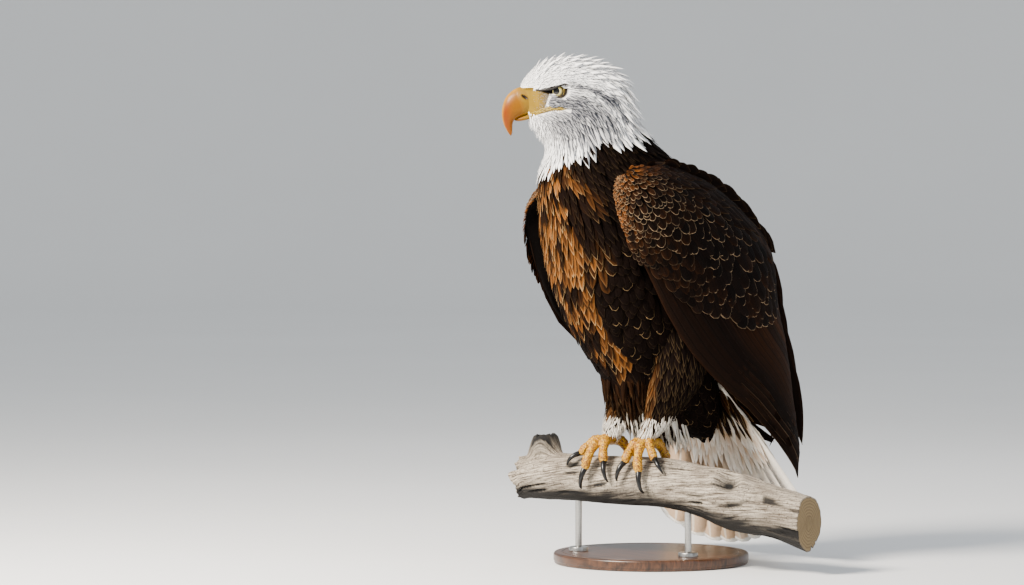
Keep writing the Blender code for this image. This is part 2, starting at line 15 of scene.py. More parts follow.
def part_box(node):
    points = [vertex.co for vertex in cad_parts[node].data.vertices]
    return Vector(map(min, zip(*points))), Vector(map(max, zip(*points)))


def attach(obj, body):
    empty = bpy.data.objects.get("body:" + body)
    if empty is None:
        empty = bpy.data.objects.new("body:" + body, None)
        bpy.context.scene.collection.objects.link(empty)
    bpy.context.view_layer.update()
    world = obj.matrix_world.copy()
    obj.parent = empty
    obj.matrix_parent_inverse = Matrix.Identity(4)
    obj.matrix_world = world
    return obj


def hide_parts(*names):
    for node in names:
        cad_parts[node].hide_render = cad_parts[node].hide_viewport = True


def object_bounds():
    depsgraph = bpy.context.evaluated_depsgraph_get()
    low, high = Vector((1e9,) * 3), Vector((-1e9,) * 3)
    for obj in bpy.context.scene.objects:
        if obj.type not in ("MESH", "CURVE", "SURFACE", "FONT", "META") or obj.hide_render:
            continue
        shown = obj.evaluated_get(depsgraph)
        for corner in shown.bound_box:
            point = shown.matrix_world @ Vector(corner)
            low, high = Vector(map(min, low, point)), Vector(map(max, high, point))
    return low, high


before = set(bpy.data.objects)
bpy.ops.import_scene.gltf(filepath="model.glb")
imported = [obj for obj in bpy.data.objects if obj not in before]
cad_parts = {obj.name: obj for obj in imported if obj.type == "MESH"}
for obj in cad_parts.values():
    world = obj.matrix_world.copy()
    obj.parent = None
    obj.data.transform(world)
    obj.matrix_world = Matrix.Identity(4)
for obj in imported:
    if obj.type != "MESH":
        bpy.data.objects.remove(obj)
CAD_LOW, CAD_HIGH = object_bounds()

MM = 0.001

# ---------------------------------------------------------------- measures shared with the solids

PERCH = np.array((0.0, -0.055, 0.178))
EYE_FORWARD, EYE_UP, EYE_SIDE, EYE_RADIUS = 0.126, 0.596, 0.03, 0.0115
NECK_FORWARD, HEAD_TURN = 0.062, math.radians(27)
NECK_PIVOT = PERCH - (0.0, NECK_FORWARD, 0.0)
# dorsal forward, dorsal up, ventral forward, ventral up, half width, share of the head's turn
BODY_STATIONS = np.array((
    (0.183, 0.6, 0.173, 0.555, 0.018, 1.0),
    (0.172, 0.618, 0.166, 0.542, 0.027, 1.0),
    (0.149, 0.638, 0.155, 0.529, 0.036, 1.0),
    (0.114, 0.648, 0.146, 0.514, 0.043, 1.0),
    (0.075, 0.646, 0.141, 0.499, 0.0485, 1.0),
    (0.036, 0.632, 0.143, 0.484, 0.0535, 1.0),
    (0.009, 0.604, 0.148, 0.47, 0.058, 0.95),
    (-0.003, 0.572, 0.152, 0.456, 0.063, 0.85),
    (-0.015, 0.542, 0.154, 0.439, 0.071, 0.62),
    (-0.04, 0.514, 0.154, 0.415, 0.084, 0.35),
    (-0.084, 0.476, 0.149, 0.377, 0.105, 0.15),
    (-0.134, 0.424, 0.14, 0.332, 0.115, 0.0),
    (-0.17, 0.36, 0.125, 0.28, 0.118, 0.0),
    (-0.188, 0.294, 0.102, 0.228, 0.114, 0.0),
    (-0.193, 0.234, 0.07, 0.178, 0.103, 0.0),
    (-0.19, 0.18, 0.034, 0.13, 0.083, 0.0),
    (-0.188, 0.138, -0.002, 0.084, 0.072, 0.0),
    (-0.186, 0.102, -0.06, 0.054, 0.059, 0.0),
    (-0.182, 0.066, -0.112, 0.034, 0.043, 0.0),
    (-0.176, 0.036, -0.146, 0.022, 0.024, 0.0),
))
LAST_STATION = len(BODY_STATIONS) - 1
BROW_LINE = ((-22.0, 8.6), (-10.0, 10.7), (0.0, 7.6), (8.5, 3.4), (29.0, 0.8))  # ahead and above, mm
EYE_PLACE = (-1.8, -2.8)  # the eye's own middle, ahead and above, mm
# the ridge's ahead and above, the cutting edge's ahead and above, half width, mm
UPPER_BILL = np.array((
    (42.0, 4.6, 20.0, -30.5, 23.0),
    (53.0, 4.4, 31.0, -34.5, 19.4),
    (62.0, 2.0, 44.0, -40.0, 17.2),
    (71.5, -4.0, 55.0, -44.0, 15.0),
    (80.0, -14.0, 63.0, -47.5, 12.8),
    (85.0, -28.0, 67.0, -51.0, 10.2),
    (86.0, -42.0, 68.6, -56.5, 7.4),
    (83.0, -56.0, 69.0, -63.5, 4.7),
    (77.0, -68.0, 69.3, -70.2, 2.3),
    (72.2, -74.4, 71.0, -74.9, 0.7),
))
LOWER_BILL = np.array((
    (24.0, -33.0, 26.0, -46.0, 13.6),
    (38.0, -36.6, 38.0, -47.6, 12.2),
    (51.0, -41.2, 50.0, -50.2, 9.9),
    (60.0, -44.6, 59.0, -51.4, 6.6),
    (65.0, -47.4, 64.5, -50.6, 2.6),
))
WRIST = {1: (0.099, 0.463), -1: (0.096, 0.449)}
WING_TIP = (-0.318, -0.054)
WING_RUN = 0.66  # from the wrist to the tip
WRIST_TUCK = {1: 0.0, -1: 0.034}  # how far the wrist's top is drawn in towards the neck
# share along, lower edge, upper edge, reach from the midline, upper edge's share of the reach, thickness
WING_STATIONS = np.array((
    (0.000, -0.002, 0.011, 0.142, 0.94, 0.01),
    (0.01, -0.013, 0.026, 0.137, 0.88, 0.02),
    (0.03, -0.032, 0.044, 0.141, 0.82, 0.03),
    (0.08, -0.055, 0.088, 0.156, 0.66, 0.04),
    (0.15, -0.068, 0.126, 0.163, 0.5, 0.044),
    (0.24, -0.078, 0.168, 0.164, 0.32, 0.044),
    (0.35, -0.086, 0.198, 0.16, 0.18, 0.04),
    (0.48, -0.082, 0.209, 0.15, 0.12, 0.034),
    (0.6, -0.062, 0.166, 0.139, 0.1, 0.026),
    (0.71, -0.036, 0.135, 0.123, 0.1, 0.019),
    (0.857, -0.014, 0.084, 0.099, 0.16, 0.011),
    (0.935, -0.006, 0.055, 0.082, 0.34, 0.007),
    (1.000, -0.002, 0.006, 0.062, 0.9, 0.003),
))
WING_DROOP, DROOP_SHARE, DROOP_SPAN = {1: 0.0, -1: 0.027}, 0.31, 0.17
TAIL_ROOT, TAIL_LENGTH, TAIL_LEAN = (-0.125, 0.191), 0.383, math.radians(24)
TAIL_SPREAD, TAIL_FEATHERS, TAIL_DISH = (math.radians(-31), math.radians(33)), 12, 0.022
# side, forward, up, radius
THIGH_STATIONS = np.array((
    (0.06, -0.05, 0.245, 0.04),
    (0.066, -0.056, 0.205, 0.052),
    (0.068, -0.058, 0.16, 0.052),
    (0.065, -0.052, 0.118, 0.046),
    (0.059, -0.041, 0.09, 0.037),
    (0.051, -0.027, 0.064, 0.027),
    (0.044, -0.012, 0.042, 0.019),
))
LEAN = {1: 0.0, -1: 0.016}  # how far each leg leans to the left at the foot
STRIDE = 0.011  # the right foot stands this far ahead of the middle, the left as far behind
ANKLE, TARSUS_RADIUS, STANCE = (0.05, -0.036, 0.074), 0.0098, {1: 0.04, -1: -0.03}
FOOT_HEADING = {1: math.radians(-14), -1: math.radians(18)}
HIND_HEADING = {1: math.radians(206), -1: math.radians(216)}
TOE_SPLAY, FOOT_ANGLE, FOOT_LIFT = math.radians(38), -0.08, 0.014
# share of the splay, length, radius, the claw's reach
TOES = {
    "inner": (1.0, 0.042, 0.0092, 0.044),
    "middle": (0.0, 0.053, 0.009, 0.046),
    "outer": (-0.88, 0.044, 0.0085, 0.041),
    "hind": (None, 0.038, 0.0094, 0.04),
}
BRANCH_HEADING, BRANCH_ENDS, BRANCH_RADIUS = math.radians(25), (-0.205, 0.335), 0.041
BRANCH_ALONG = np.array((math.cos(BRANCH_HEADING), math.sin(BRANCH_HEADING), 0.0))
BRANCH_FRONT = np.array((math.sin(BRANCH_HEADING), -math.cos(BRANCH_HEADING), 0.0))
STUB_STATION, STUB_LENGTH, KNOT_STATION, KNOT_ANGLE, KNOT_RADIUS = -0.146, 0.03, 0.205, 0.75, 0.017
SIDES = (("left", 1), ("right", -1))
DOWN = np.array((0.0, 0.0, -1.0))

# ---------------------------------------------------------------- numbers on curves and surfaces

UV_STEP = 1e-3  # the change of uv over which a surface's slopes are measured
TRIALS = 9.0  # roots tried for each that the spacing has room for


def bump(distance, size):
    return np.exp(-((distance / size) ** 2))


def smooth(value, low, high):
    t = np.clip((value - low) / (high - low), 0.0, 1.0)
    return t * t * (3.0 - 2.0 * t)


def along(rows, place):
    """Rows read at these places (0 is the first row, 1 the second) on a smooth curve through them."""
    last = len(rows) - 1
    asked = np.asarray(place, float)
    place = np.clip(asked, 0, last)
    first = np.minimum(place.astype(int), last - 1)
    t = (place - first)[..., None]
    a, b, c, d = (rows[np.clip(first + k, 0, last)] for k in (-1, 0, 1, 2))
    inside = 0.5 * (2 * b + (c - a) * t + (2 * a - 5 * b + 4 * c - d) * t**2 + (3 * b - a - 3 * c + d) * t**3)
    return inside + (asked - place)[..., None] * (c - b)  # straight on beyond both ends


def at_share(rows, share):
    """Rows read at these values of their first column."""
    place = np.interp(share, rows[:, 0], np.arange(len(rows)))
    return np.moveaxis(along(rows, place), -1, 0)[1:]


def unit(vectors):
    return vectors / np.maximum(np.linalg.norm(vectors, axis=-1, keepdims=True), 1e-12)


def bird(side, forward, up):
    """Points given from the perch point in the bird's own directions."""
    return PERCH + np.stack(np.broadcast_arrays(side, -np.asarray(forward), up), -1)


def turned(points, share=1.0):
    """Points of the bird carried round the neck's upright axis by a share of the head's turn."""
    angle = -HEAD_TURN * np.asarray(share)
    x, y, z = np.moveaxis(points - NECK_PIVOT, -1, 0)
    cosine, sine = np.cos(angle), np.sin(angle)
    return NECK_PIVOT + np.stack((x * cosine - y * sine, x * sine + y * cosine, z), -1)


def head(side, ahead, above):
    """Points given in millimetres from the midpoint between the eyes."""
    side, ahead, above = (np.asarray(v, float) for v in (side, ahead, above))
    return turned(bird(side * MM, EYE_FORWARD + ahead * MM, EYE_UP + above * MM))


def head_place(points):
    """The other way round: side, ahead and above in millimetres of points on the turned head."""
    x, y, z = np.moveaxis(points - NECK_PIVOT, -1, 0)
    cosine, sine = math.cos(HEAD_TURN), math.sin(HEAD_TURN)
    side, back = x * cosine - y * sine, x * sine + y * cosine
    return side / MM, (NECK_FORWARD - back - EYE_FORWARD) / MM, (z - EYE_UP) / MM


def brow_line(ahead):
    """The height of the brow's bony edge, in head millimetres."""
    return np.interp(ahead, *zip(*BROW_LINE))


def head_relief(side, forward, up):
    """How far the side of the head stands out: brow and cheek out, the eye's socket and the lore in."""
    ahead, above = (forward - EYE_FORWARD) / MM, (up - EYE_UP) / MM
    over = above - brow_line(ahead)
    shelf = np.where(over > 0, bump(over, 8.5), bump(over, 3.4))
    shelf = shelf * smooth(ahead, -30, -14) * smooth(-ahead, -34, -20)
    socket = bump(ahead - 0.2, 15.0) * bump(above + 4.0, 9.5)
    lore = bump(ahead - 27.0, 11.0) * bump(above + 10.0, 11.0)
    cheek = bump(ahead + 35.0, 24.0) * bump(above + 30.0, 20.0)
    seat = smooth(ahead, 29, 43) * smooth(-above, -3.0, 3.0) * smooth(above, -56, -46)
    out = 5.2 * shelf - 5.6 * socket - 2.2 * lore + 3.5 * cheek - 6.0 * seat
    near_side = np.minimum(np.abs(side) / 0.022, 1.0) ** 2
    return np.sign(side) * near_side * out * MM


def body_surface(uv):
    """The feathered outline of head, neck and trunk; uv is the station and the angle from the back."""
    rows = along(BODY_STATIONS, uv[..., 0])
    top_forward, top_up, low_forward, low_up, half_width, turn = np.moveaxis(rows, -1, 0)
    height = 0.5 + 0.5 * np.cos(uv[..., 1])
    wave = np.sin(uv[..., 1])
    side = half_width * np.sign(wave) * np.abs(wave) ** 0.92
    forward = low_forward + (top_forward - low_forward) * height
    up = low_up + (top_up - low_up) * height
    return turned(bird(side + head_relief(side, forward, up), forward, up), turn)


def wing_surface(side):
    """The folded wing's outer face; uv is the share along and the place across from the lower edge."""

    def surface(uv):
        share = np.clip(uv[..., 0], 0.0, 1.0)
        low, high, reach, edge_share, _ = at_share(WING_STATIONS, share)
        low = low - WING_DROOP[side] * bump(share - DROOP_SHARE, DROOP_SPAN)
        reach = reach - WRIST_TUCK[side] * (1.0 - smooth(share, 0.0, 0.05))
        offset = low + (high - low) * uv[..., 1]
        start = np.array(WRIST[side])
        run = np.array(WING_TIP) - start
        ahead = run / np.linalg.norm(run)
        spot = start + run * uv[..., 0, None] + np.array((ahead[1], -ahead[0])) * offset[..., None]
        upper = 1.0 - (1.0 - edge_share**2) * np.minimum(np.abs(offset / high), 1.0) ** 2
        lower = 1.0 - 0.14 * (offset / low) ** 2
        out = reach * np.where(offset > 0, np.sqrt(np.maximum(upper, 0.0)), lower)
        return bird(side * out, spot[..., 0], spot[..., 1])

    return surface


def thigh_surface(side):
    """A feathered thigh; uv is the place down it and the angle round it."""

    def surface(uv):
        x, forward, up, radius = np.moveaxis(along(THIGH_STATIONS, uv[..., 0]), -1, 0)
        round_x, round_y = np.cos(uv[..., 1]), np.sin(uv[..., 1])
        forward = forward - side * STRIDE * smooth(-up, -0.1, -0.045)
        x = side * x + LEAN[side] * smooth(-up, -0.17, -0.06)
        return bird(x + radius * round_x, forward + radius * round_y, up)

    return surface


def tail_surface(uv):
    """The fanned tail; uv is the turn from its middle line and the distance from the fan's root."""
    turn, reach = uv[..., 0], uv[..., 1]
    middle = 0.5 * (TAIL_SPREAD[0] + TAIL_SPREAD[1])
    half = 0.5 * (TAIL_SPREAD[1] - TAIL_SPREAD[0])
    bend = TAIL_DISH * ((turn - middle) / half) ** 2 * (reach / TAIL_LENGTH) ** 2
    drop = reach * np.cos(turn)
    forward = TAIL_ROOT[0] - drop * math.sin(TAIL_LEAN) + bend * math.cos(TAIL_LEAN)
    up = TAIL_ROOT[1] - drop * math.cos(TAIL_LEAN) - bend * math.sin(TAIL_LEAN)
    return bird(reach * np.sin(turn), forward, up)


class Ground:
    """A surface that feathers lie on, its outward side told by a known point, with its own bake chart."""

    def __init__(self, surface, chart, known_uv, outward):
        self.surface, self.chart, self.sign = surface, chart, 1.0
        normal = self.frame(np.array([known_uv], float))[1][0]
        self.sign = math.copysign(1.0, float(np.dot(normal, outward)))

    def frame(self, uv):
        """Points, outward normals and the two slopes of the surface there."""
        across = np.array((UV_STEP, 0.0)), np.array((0.0, UV_STEP))
        slopes = [(self.surface(uv + d) - self.surface(uv - d)) / (2 * UV_STEP) for d in across]
        normal = unit(np.cross(*slopes)) * self.sign
        return self.surface(uv), normal, slopes[0], slopes[1]


def onward(heading, normal, slope_u, slope_v):
    """The surface direction nearest to a heading, and the change of uv that goes one metre along it."""
    flat = unit(heading - (heading * normal).sum(-1, keepdims=True) * normal)
    uu, vv, uv = ((a * b).sum(-1) for a, b in ((slope_u, slope_u), (slope_v, slope_v), (slope_u, slope_v)))
    du, dv = (flat * slope_u).sum(-1), (flat * slope_v).sum(-1)
    space = np.maximum(uu * vv - uv * uv, 1e-14)
    return flat, np.stack((du * vv - dv * uv, dv * uu - du * uv), -1) / space[..., None]


def tree_of(points):
    """Points as a tree, for finding the nearest."""
    tree = KDTree(len(points))
    for index, point in enumerate(points):
        tree.insert(point, index)
    tree.balance()
    return tree


def scatter(ground, low, high, spacing, seed):
    """Roots over a patch of the ground, no two nearer than the spacing, which is a function of uv."""
    random = np.random.default_rng(seed)
    low, high = np.array(low, float), np.array(high, float)

    def weighed(number):
        uv = low + (high - low) * random.random((number, 2))
        _, _, slope_u, slope_v = ground.frame(uv)
        return uv, np.linalg.norm(np.cross(slope_u, slope_v), axis=-1) / spacing(uv) ** 2

    _, weight = weighed(4000)
    top, mean = np.percentile(weight, 99.5), weight.mean()
    trial, weight = weighed(int(TRIALS * mean * np.prod(high - low) * top / mean))
    trial = trial[random.random(len(trial)) < weight / top]
    points, gaps = ground.surface(trial), spacing(trial)
    tree = tree_of(points)
    taken, gone = [], np.zeros(len(points), bool)
    for index, point in enumerate(points):
        if not gone[index]:
            taken.append(index)
            gone[[near for _, near, _ in tree.find_range(point, gaps[index])]] = True
    return trial[taken]


def even(millimetres):
    """The same spacing all over."""
    return lambda uv: np.full(len(uv), millimetres * MM)


def graded(places, millimetres):
    """A spacing that changes along uv's first direction."""
    return lambda uv: np.interp(uv[:, 0], places, millimetres) * MM


# ---------------------------------------------------------------- feather vanes

# where a vane's points stand across it, from one edge to the other
PLAIN, SMALL, LONG = (-1.0, -0.8, 0.0, 0.8, 1.0), (-1.0, 0.0, 1.0), (-1.0, -0.8, -0.4, 0.0, 0.4, 0.8, 1.0)
FINE = {"columns": SMALL, "thickness": 0.0003}  # the smallest feathers
PATCH = 0.003  # the side of a feather's patch on the bake map


def rounded(t):
    """A covert's half width: quick to its full width and round at the tip."""
    tip = np.clip(1.0 - (np.maximum(t - 0.62, 0) / 0.38) ** 2.2, 0, 1)
    return np.sqrt(np.clip(t / 0.45, 0, 1)) * np.sqrt(tip)


def pointed(t):
    """A hackle's half width: widest at a third of its length, then a long point."""
    return np.sqrt(np.clip(t / 0.34, 0, 1)) * np.clip(1.0 - (np.maximum(t - 0.34, 0) / 0.66) ** 1.7, 0, 1)


def blunt(t):
    """A breast feather's half width: between the two."""
    return np.sqrt(np.clip(t / 0.4, 0, 1)) * np.clip(1.0 - (np.maximum(t - 0.5, 0) / 0.5) ** 1.9, 0, 1)


def long_vane(t):
    """A flight feather's half width: even for most of its length and blunt at the tip."""
    tip = np.clip(1.0 - (np.maximum(t - 0.84, 0) / 0.16) ** 2.4, 0, 1)
    return (0.55 + 0.45 * smooth(t, 0.0, 0.35)) * np.sqrt(tip)


def placed(name, data):
    """A new object of the scene, with its data."""
    made = bpy.data.objects.new(name, data)
    bpy.context.scene.collection.objects.link(made)
    return made


def mark(mesh, label, values):
    """Keeps one number or three at each of a mesh's points."""
    kind, field = ("FLOAT_VECTOR", "vector") if values.shape[-1] == 3 else ("FLOAT", "value")
    mesh.attributes.new(label, kind, "POINT").data.foreach_set(field, values.astype(np.float32).ravel())


class Coat:
    """Feathers gathered into one mesh, each a closed thin vane with its shaft, marks and bake patch."""

    def __init__(self):
        self.count, self.faces = 0, []
        self.points, self.vane, self.barb, self.feather, self.bake = [], [], [], [], []

    def add(self, shafts, normals, half_widths, stops, columns, crown, thickness, tone, warm, pale, place):
        """Shafts and normals are (feathers, rows, 3); half_widths (feathers, rows, 2) for the two sides."""
        number, rows, _ = shafts.shape
        if not number:
            return
        ahead = unit(np.gradient(shafts, axis=1))
        sideways = unit(np.cross(normals, ahead))
        above = unit(np.cross(ahead, sideways))
        across = np.array(columns)[None, None, :, None]
        half = np.where(across < 0, half_widths[:, :, None, :1], half_widths[:, :, None, 1:])
        arch = crown * half * (1.0 - across**2)
        top = shafts[:, :, None] + sideways[:, :, None] * across * half + above[:, :, None] * arch
        under = shafts[:, :, None] + above[:, :, None] * (crown * half.max(2, keepdims=True) - thickness)
        ring = np.concatenate((top, under), 2)
        width = len(columns) + 1
        length = np.linalg.norm(np.diff(shafts, axis=1), axis=2).sum(1)[:, None, None]
        t = np.broadcast_to(np.array(stops)[None, :, None], (number, rows, width))
        a = np.broadcast_to(np.array((*columns, 0.0))[None, None, :], (number, rows, width))
        halves = np.concatenate((half[..., 0], half.max(2)), 2)
        rim = np.minimum(halves * (1.0 - np.abs(a)), (1.0 - t) * length)
        barb = t * length - 0.8 * halves * np.abs(a)
        marks = np.stack(np.broadcast_arrays(tone, warm, pale), -1)[:, None, None]
        spread = np.sign(a) * np.where(np.abs(a) < 0.8, 0.44 * np.abs(a), 0.35 + 3.25 * (np.abs(a) - 0.8))
        reach = np.where(t < 0.85, 0.7 * t, 0.6 + 2.66 * (t - 0.85))
        patch = np.stack((0.5 + 0.5 * spread, reach), -1) * PATCH
        for kept, values in ((self.points, ring), (self.vane, np.stack((0.5 + 0.5 * a, t, rim), -1)),
                             (self.barb, barb[..., None]), (self.feather, np.broadcast_to(marks, ring.shape)),
                             (self.bake, place[:, None, None] * (1.0 - PATCH) + patch)):
            kept.append(values.reshape(-1, values.shape[-1]))
        start = self.count + np.arange(number)[:, None, None] * rows * width
        row, column = np.arange(rows - 1)[None, :, None] * width, np.arange(width)[None, None, :]
        near, far, following = start + row, start + row + width, (column + 1) % width
        sides = np.stack([near + column, far + column, far + following, near + following], -1)
        self.faces.append(sides.reshape(-1, 4))
        for first, order in ((0, 1), ((rows - 1) * width, -1)):
            for k in range(1, width - 2, 2):
                corners = (0, k, k + 1, k + 2)[::order]
                self.faces.append(np.stack([start[:, 0, 0] + first + c for c in corners], -1))
        self.count += number * rows * width

    def build(self, name, material):
        points, faces = np.concatenate(self.points), np.concatenate(self.faces)
        corners = faces.ravel()
        mesh = bpy.data.meshes.new(name)
        mesh.vertices.add(len(points))
        mesh.vertices.foreach_set("co", points.astype(np.float32).ravel())
        mesh.loops.add(len(corners))
        mesh.loops.foreach_set("vertex_index", corners.astype(np.int32))
        mesh.polygons.add(len(faces))
        mesh.polygons.foreach_set("loop_start", np.arange(0, len(corners), 4, dtype=np.int32))
        mesh.update(calc_edges=True)
        for label, values in (("vane", self.vane), ("feather", self.feather), ("barb", self.barb)):
            mark(mesh, label, np.concatenate(values))
        chart = np.clip(np.concatenate(self.bake)[corners], 0, 1)
        mesh.uv_layers.new(name="OFBake").data.foreach_set("uv", chart.astype(np.float32).ravel())
        mesh.shade_smooth()
        mesh.validate()
        mesh.materials.append(material)
        return placed(name, mesh)


def spread_lengths(random, number, length, share=0.12):
    return length * (1.0 + share * random.standard_normal(number).clip(-2, 2))


def lay(coat, ground, roots, length, width, shape, random, rows=7, columns=PLAIN, heading=None, droop=0.0,
        lift=(0.0, 0.0), sweep=0.0, crown=0.16, thickness=0.0005, ragged=0.06, warm=0.0, pale=0.0):
    """Lays feathers on the ground from their roots, down the form with some droop unless told a heading.
    Lift is the height over the ground at root and tip."""
    number = len(roots)
    if not number:
        return
    if heading is None:
        heading = unit(ground.frame(roots)[2]) + np.asarray(droop)[..., None] * DOWN
    stops = 1.0 - (1.0 - np.linspace(0, 1, rows)) ** 1.35
    uv = roots.copy()
    shafts, normals = np.empty((number, rows, 3)), np.empty((number, rows, 3))
    heading = np.broadcast_to(heading, (number, 3)) + sweep * random.standard_normal((number, 3))
    length, width = np.broadcast_to(length, number), np.broadcast_to(width, number)
    low, high = (np.broadcast_to(value, number) for value in lift)
    for row, t in enumerate(stops):
        point, normal, slope_u, slope_v = ground.frame(uv)
        rise = low + (high - low) * t**1.2
        shafts[:, row], normals[:, row] = point + normal * rise[:, None], normal
        if row < rows - 1:
            heading, rate = onward(heading, normal, slope_u, slope_v)
            uv = uv + rate * (length * (stops[row + 1] - t))[:, None]
    half = 0.5 * width[:, None] * np.maximum(shape(stops), 0.05)[None, :]
    halves = half[..., None] * (1.0 + ragged * random.standard_normal((number, rows, 2)))
    coat.add(shafts, normals, halves, stops, columns, crown, thickness, random.random(number), warm, pale,
             ground.chart(roots))


# ---------------------------------------------------------------- materials


def linear(code):
    """An sRGB hex colour as linear numbers with alpha."""
    parts = [int(code[i : i + 2], 16) / 255 for i in (1, 3, 5)]
    return (*[p / 12.92 if p <= 0.04045 else ((p + 0.055) / 1.055) ** 2.4 for p in parts], 1.0)


def add(tree, kind, inputs=(), output=0, **settings):
    """Adds a node, sets what it is told, links or fills its inputs by order or name, and gives an output."""
    node = tree.nodes.new("ShaderNode" + kind)
    for name, value in settings.items():
        setattr(node, name, value)
    for key, value in inputs.items() if isinstance(inputs, dict) else enumerate(inputs):
        if isinstance(value, bpy.types.NodeSocket):
            tree.links.new(value, node.inputs[key])
        else:
            node.inputs[key].default_value = linear(value) if isinstance(value, str) else value
    return node.outputs[output]


def start_material(name, sockets):
    """A new material; what is the same all over is set on its shader's own sockets."""
    made = bpy.data.materials.new(name)
    made.use_nodes = True
    for socket, value in sockets.items():
        made.node_tree.nodes["Principled BSDF"].inputs[socket].default_value = value
    return made, made.node_tree


def close_material(made, colour, height=None, relief=0.0, strength=0.0):
    """Joins the colour, and a height with its relief in metres, to the material's shader."""
    tree = made.node_tree
    shader = tree.nodes["Principled BSDF"]
    tree.links.new(colour, shader.inputs["Base Color"])
    if height:
        normal = add(tree, "Bump", {"Height": height, "Distance": relief, "Strength": strength})
        tree.links.new(normal, shader.inputs["Normal"])
    return made


def marks_of(tree, label):
    """The three numbers that a piece's points carry under a label."""
    store = add(tree, "Attribute", output="Vector", attribute_name=label)
    return add(tree, "SeparateXYZ", (store,)).node.outputs


A, B, COLOURS = 6, 7, {"data_type": "RGBA", "output": 2}  # where a mix node takes and gives colours
BARB_SPACING = 0.0017  # real barbs stand 0.5 mm apart; drawn three times as coarse so that they show
RING_SPACING = 0.0045  # growth rings of the sawn end, drawn twice as coarse as in slow pine so that they show


def plumage(name, web, lighter, gold, fringe, shaft, fringe_width, roughness, relief, core):
    """Feather keratin, barbs on a shaft: soft sheen, a fine herringbone and an edge of its own colour."""
    made, tree = start_material(name, {"Roughness": roughness, "IOR": 1.54, "Specular IOR Level": 0.03})
    vane, marks = marks_of(tree, "vane"), marks_of(tree, "feather")
    run = add(tree, "Attribute", output="Fac", attribute_name="barb")
    spot = add(tree, "TexCoord", output="Object")
    mottle = add(tree, "TexNoise", {"Vector": spot, "Scale": 260.0, "Detail": 3.0})  # mottles of 4 mm
    wobble = add(tree, "Math", (mottle, 2.5), operation="MULTIPLY")
    phase = add(tree, "Math", (run, 2 * math.pi / BARB_SPACING, wobble), operation="MULTIPLY_ADD")
    ripple = add(tree, "Math", (phase,), operation="SINE")
    ridge = add(tree, "MapRange", (ripple, -1.0, 1.0))
    tone = add(tree, "Math", (marks[0], mottle), operation="MULTIPLY")
    tone = add(tree, "Math", (tone, 1.6), operation="MULTIPLY", use_clamp=True)
    edge = add(tree, "MapRange", (vane[2], 0.0055, 0.0008, core, 1.0))
    golden = add(tree, "Math", (edge, marks[1]), operation="MULTIPLY")
    darker = add(tree, "Math", (ridge, 0.22), operation="MULTIPLY")
    rim = add(tree, "MapRange", (vane[2], fringe_width, fringe_width * 0.45), interpolation_type="SMOOTHSTEP")
    outer = add(tree, "MapRange", (vane[1], 0.5, 0.85))
    for share in (outer, marks[2]):
        rim = add(tree, "Math", (rim, share), operation="MULTIPLY")
    off = add(tree, "Math", (vane[0], 0.5), operation="SUBTRACT")
    off = add(tree, "Math", (off,), operation="ABSOLUTE")
    quill = add(tree, "MapRange", (off, 0.045, 0.02))
    line = add(tree, "Math", (quill, 0.55), operation="MULTIPLY")
    colour = add(tree, "Mix", {0: tone, A: web, B: lighter}, **COLOURS)
    colour = add(tree, "Mix", {0: golden, A: colour, B: gold}, **COLOURS)
    shade = add(tree, "Mix", {0: 0.6, A: colour, B: web}, **COLOURS)
    for share, tint in ((darker, shade), (rim, fringe), (line, shaft)):
        colour = add(tree, "Mix", {0: share, A: colour, B: tint}, **COLOURS)
    height = add(tree, "Math", (quill, 1.5, ridge), operation="MULTIPLY_ADD")
    return close_material(made, colour, height, relief, 0.6)


# web, lighter web, gold, fringe, shaft, the fringe's width, roughness, relief, how golden the middle is
PLUMAGE = {slot: plumage(name, *looks) for slot, name, *looks in (
    # the white's third colour is a blue-grey for the head's streaks and for its painted shade
    ("white_plumage", "feather_keratin_white", "#FBFAF8", "#FFFFFF", "#3A3D48", "#FFFFFF", "#FBF9F4",
     0.0012, 0.7, 0.0001, 1.0),
    # the brown's gold is laid mostly as painted sunlight on the breast and on the thighs' fronts
    ("brown_plumage", "feather_keratin_dark_brown", "#080403", "#120A07", "#7E4E22", "#B49468", "#060302",
     0.0011, 0.85, 0.00035, 0.2),
    ("wing_plumage", "feather_keratin_wing", "#070403", "#120B08", "#744218", "#B39877", "#050302",
     0.001, 0.7, 0.00035, 0.3),
    # the tail's gold is painted golden shading on the tail and its under coverts
    ("tail_plumage", "feather_keratin_tail", "#DDD5C6", "#FBF8F0", "#B07A30", "#FFFDF6", "#EFE8D8",
     0.0065, 0.66, 0.0002, 0.9))}


def skin_material():
    """Living skin under down: matt, finely pebbled, coloured by the coat's markings, black with painted
    shadow by the eye.
    """
    made, tree = start_material("downy_skin", {"Roughness": 0.85, "IOR": 1.45, "Specular IOR Level": 0.08})
    white, bare, dark = marks_of(tree, "marking")
    spot = add(tree, "TexCoord", output="Object")
    pebbles = add(tree, "TexNoise", {"Vector": spot, "Scale": 900.0, "Detail": 4.0})  # of 1 mm
    cloud = add(tree, "TexNoise", {"Vector": spot, "Scale": 60.0, "Detail": 3.0})  # of 17 mm
    down = add(tree, "Mix", {0: white, A: "#080504", B: "#F1EEE9"}, **COLOURS)
    lore = add(tree, "Mix", {0: cloud, A: "#6C540F", B: "#8A6F28"}, **COLOURS)
    lore = add(tree, "Mix", {0: white, A: lore, B: "#46413C"}, **COLOURS)
    colour = add(tree, "Mix", {0: bare, A: down, B: lore}, **COLOURS)
    # painted shadow: the dark share blacks the skin round the eye and in the wedge under the brow
    colour = add(tree, "Mix", {0: dark, A: colour, B: "#0A0706"}, **COLOURS)
    return close_material(made, colour, pebbles, 0.0004, 0.7)


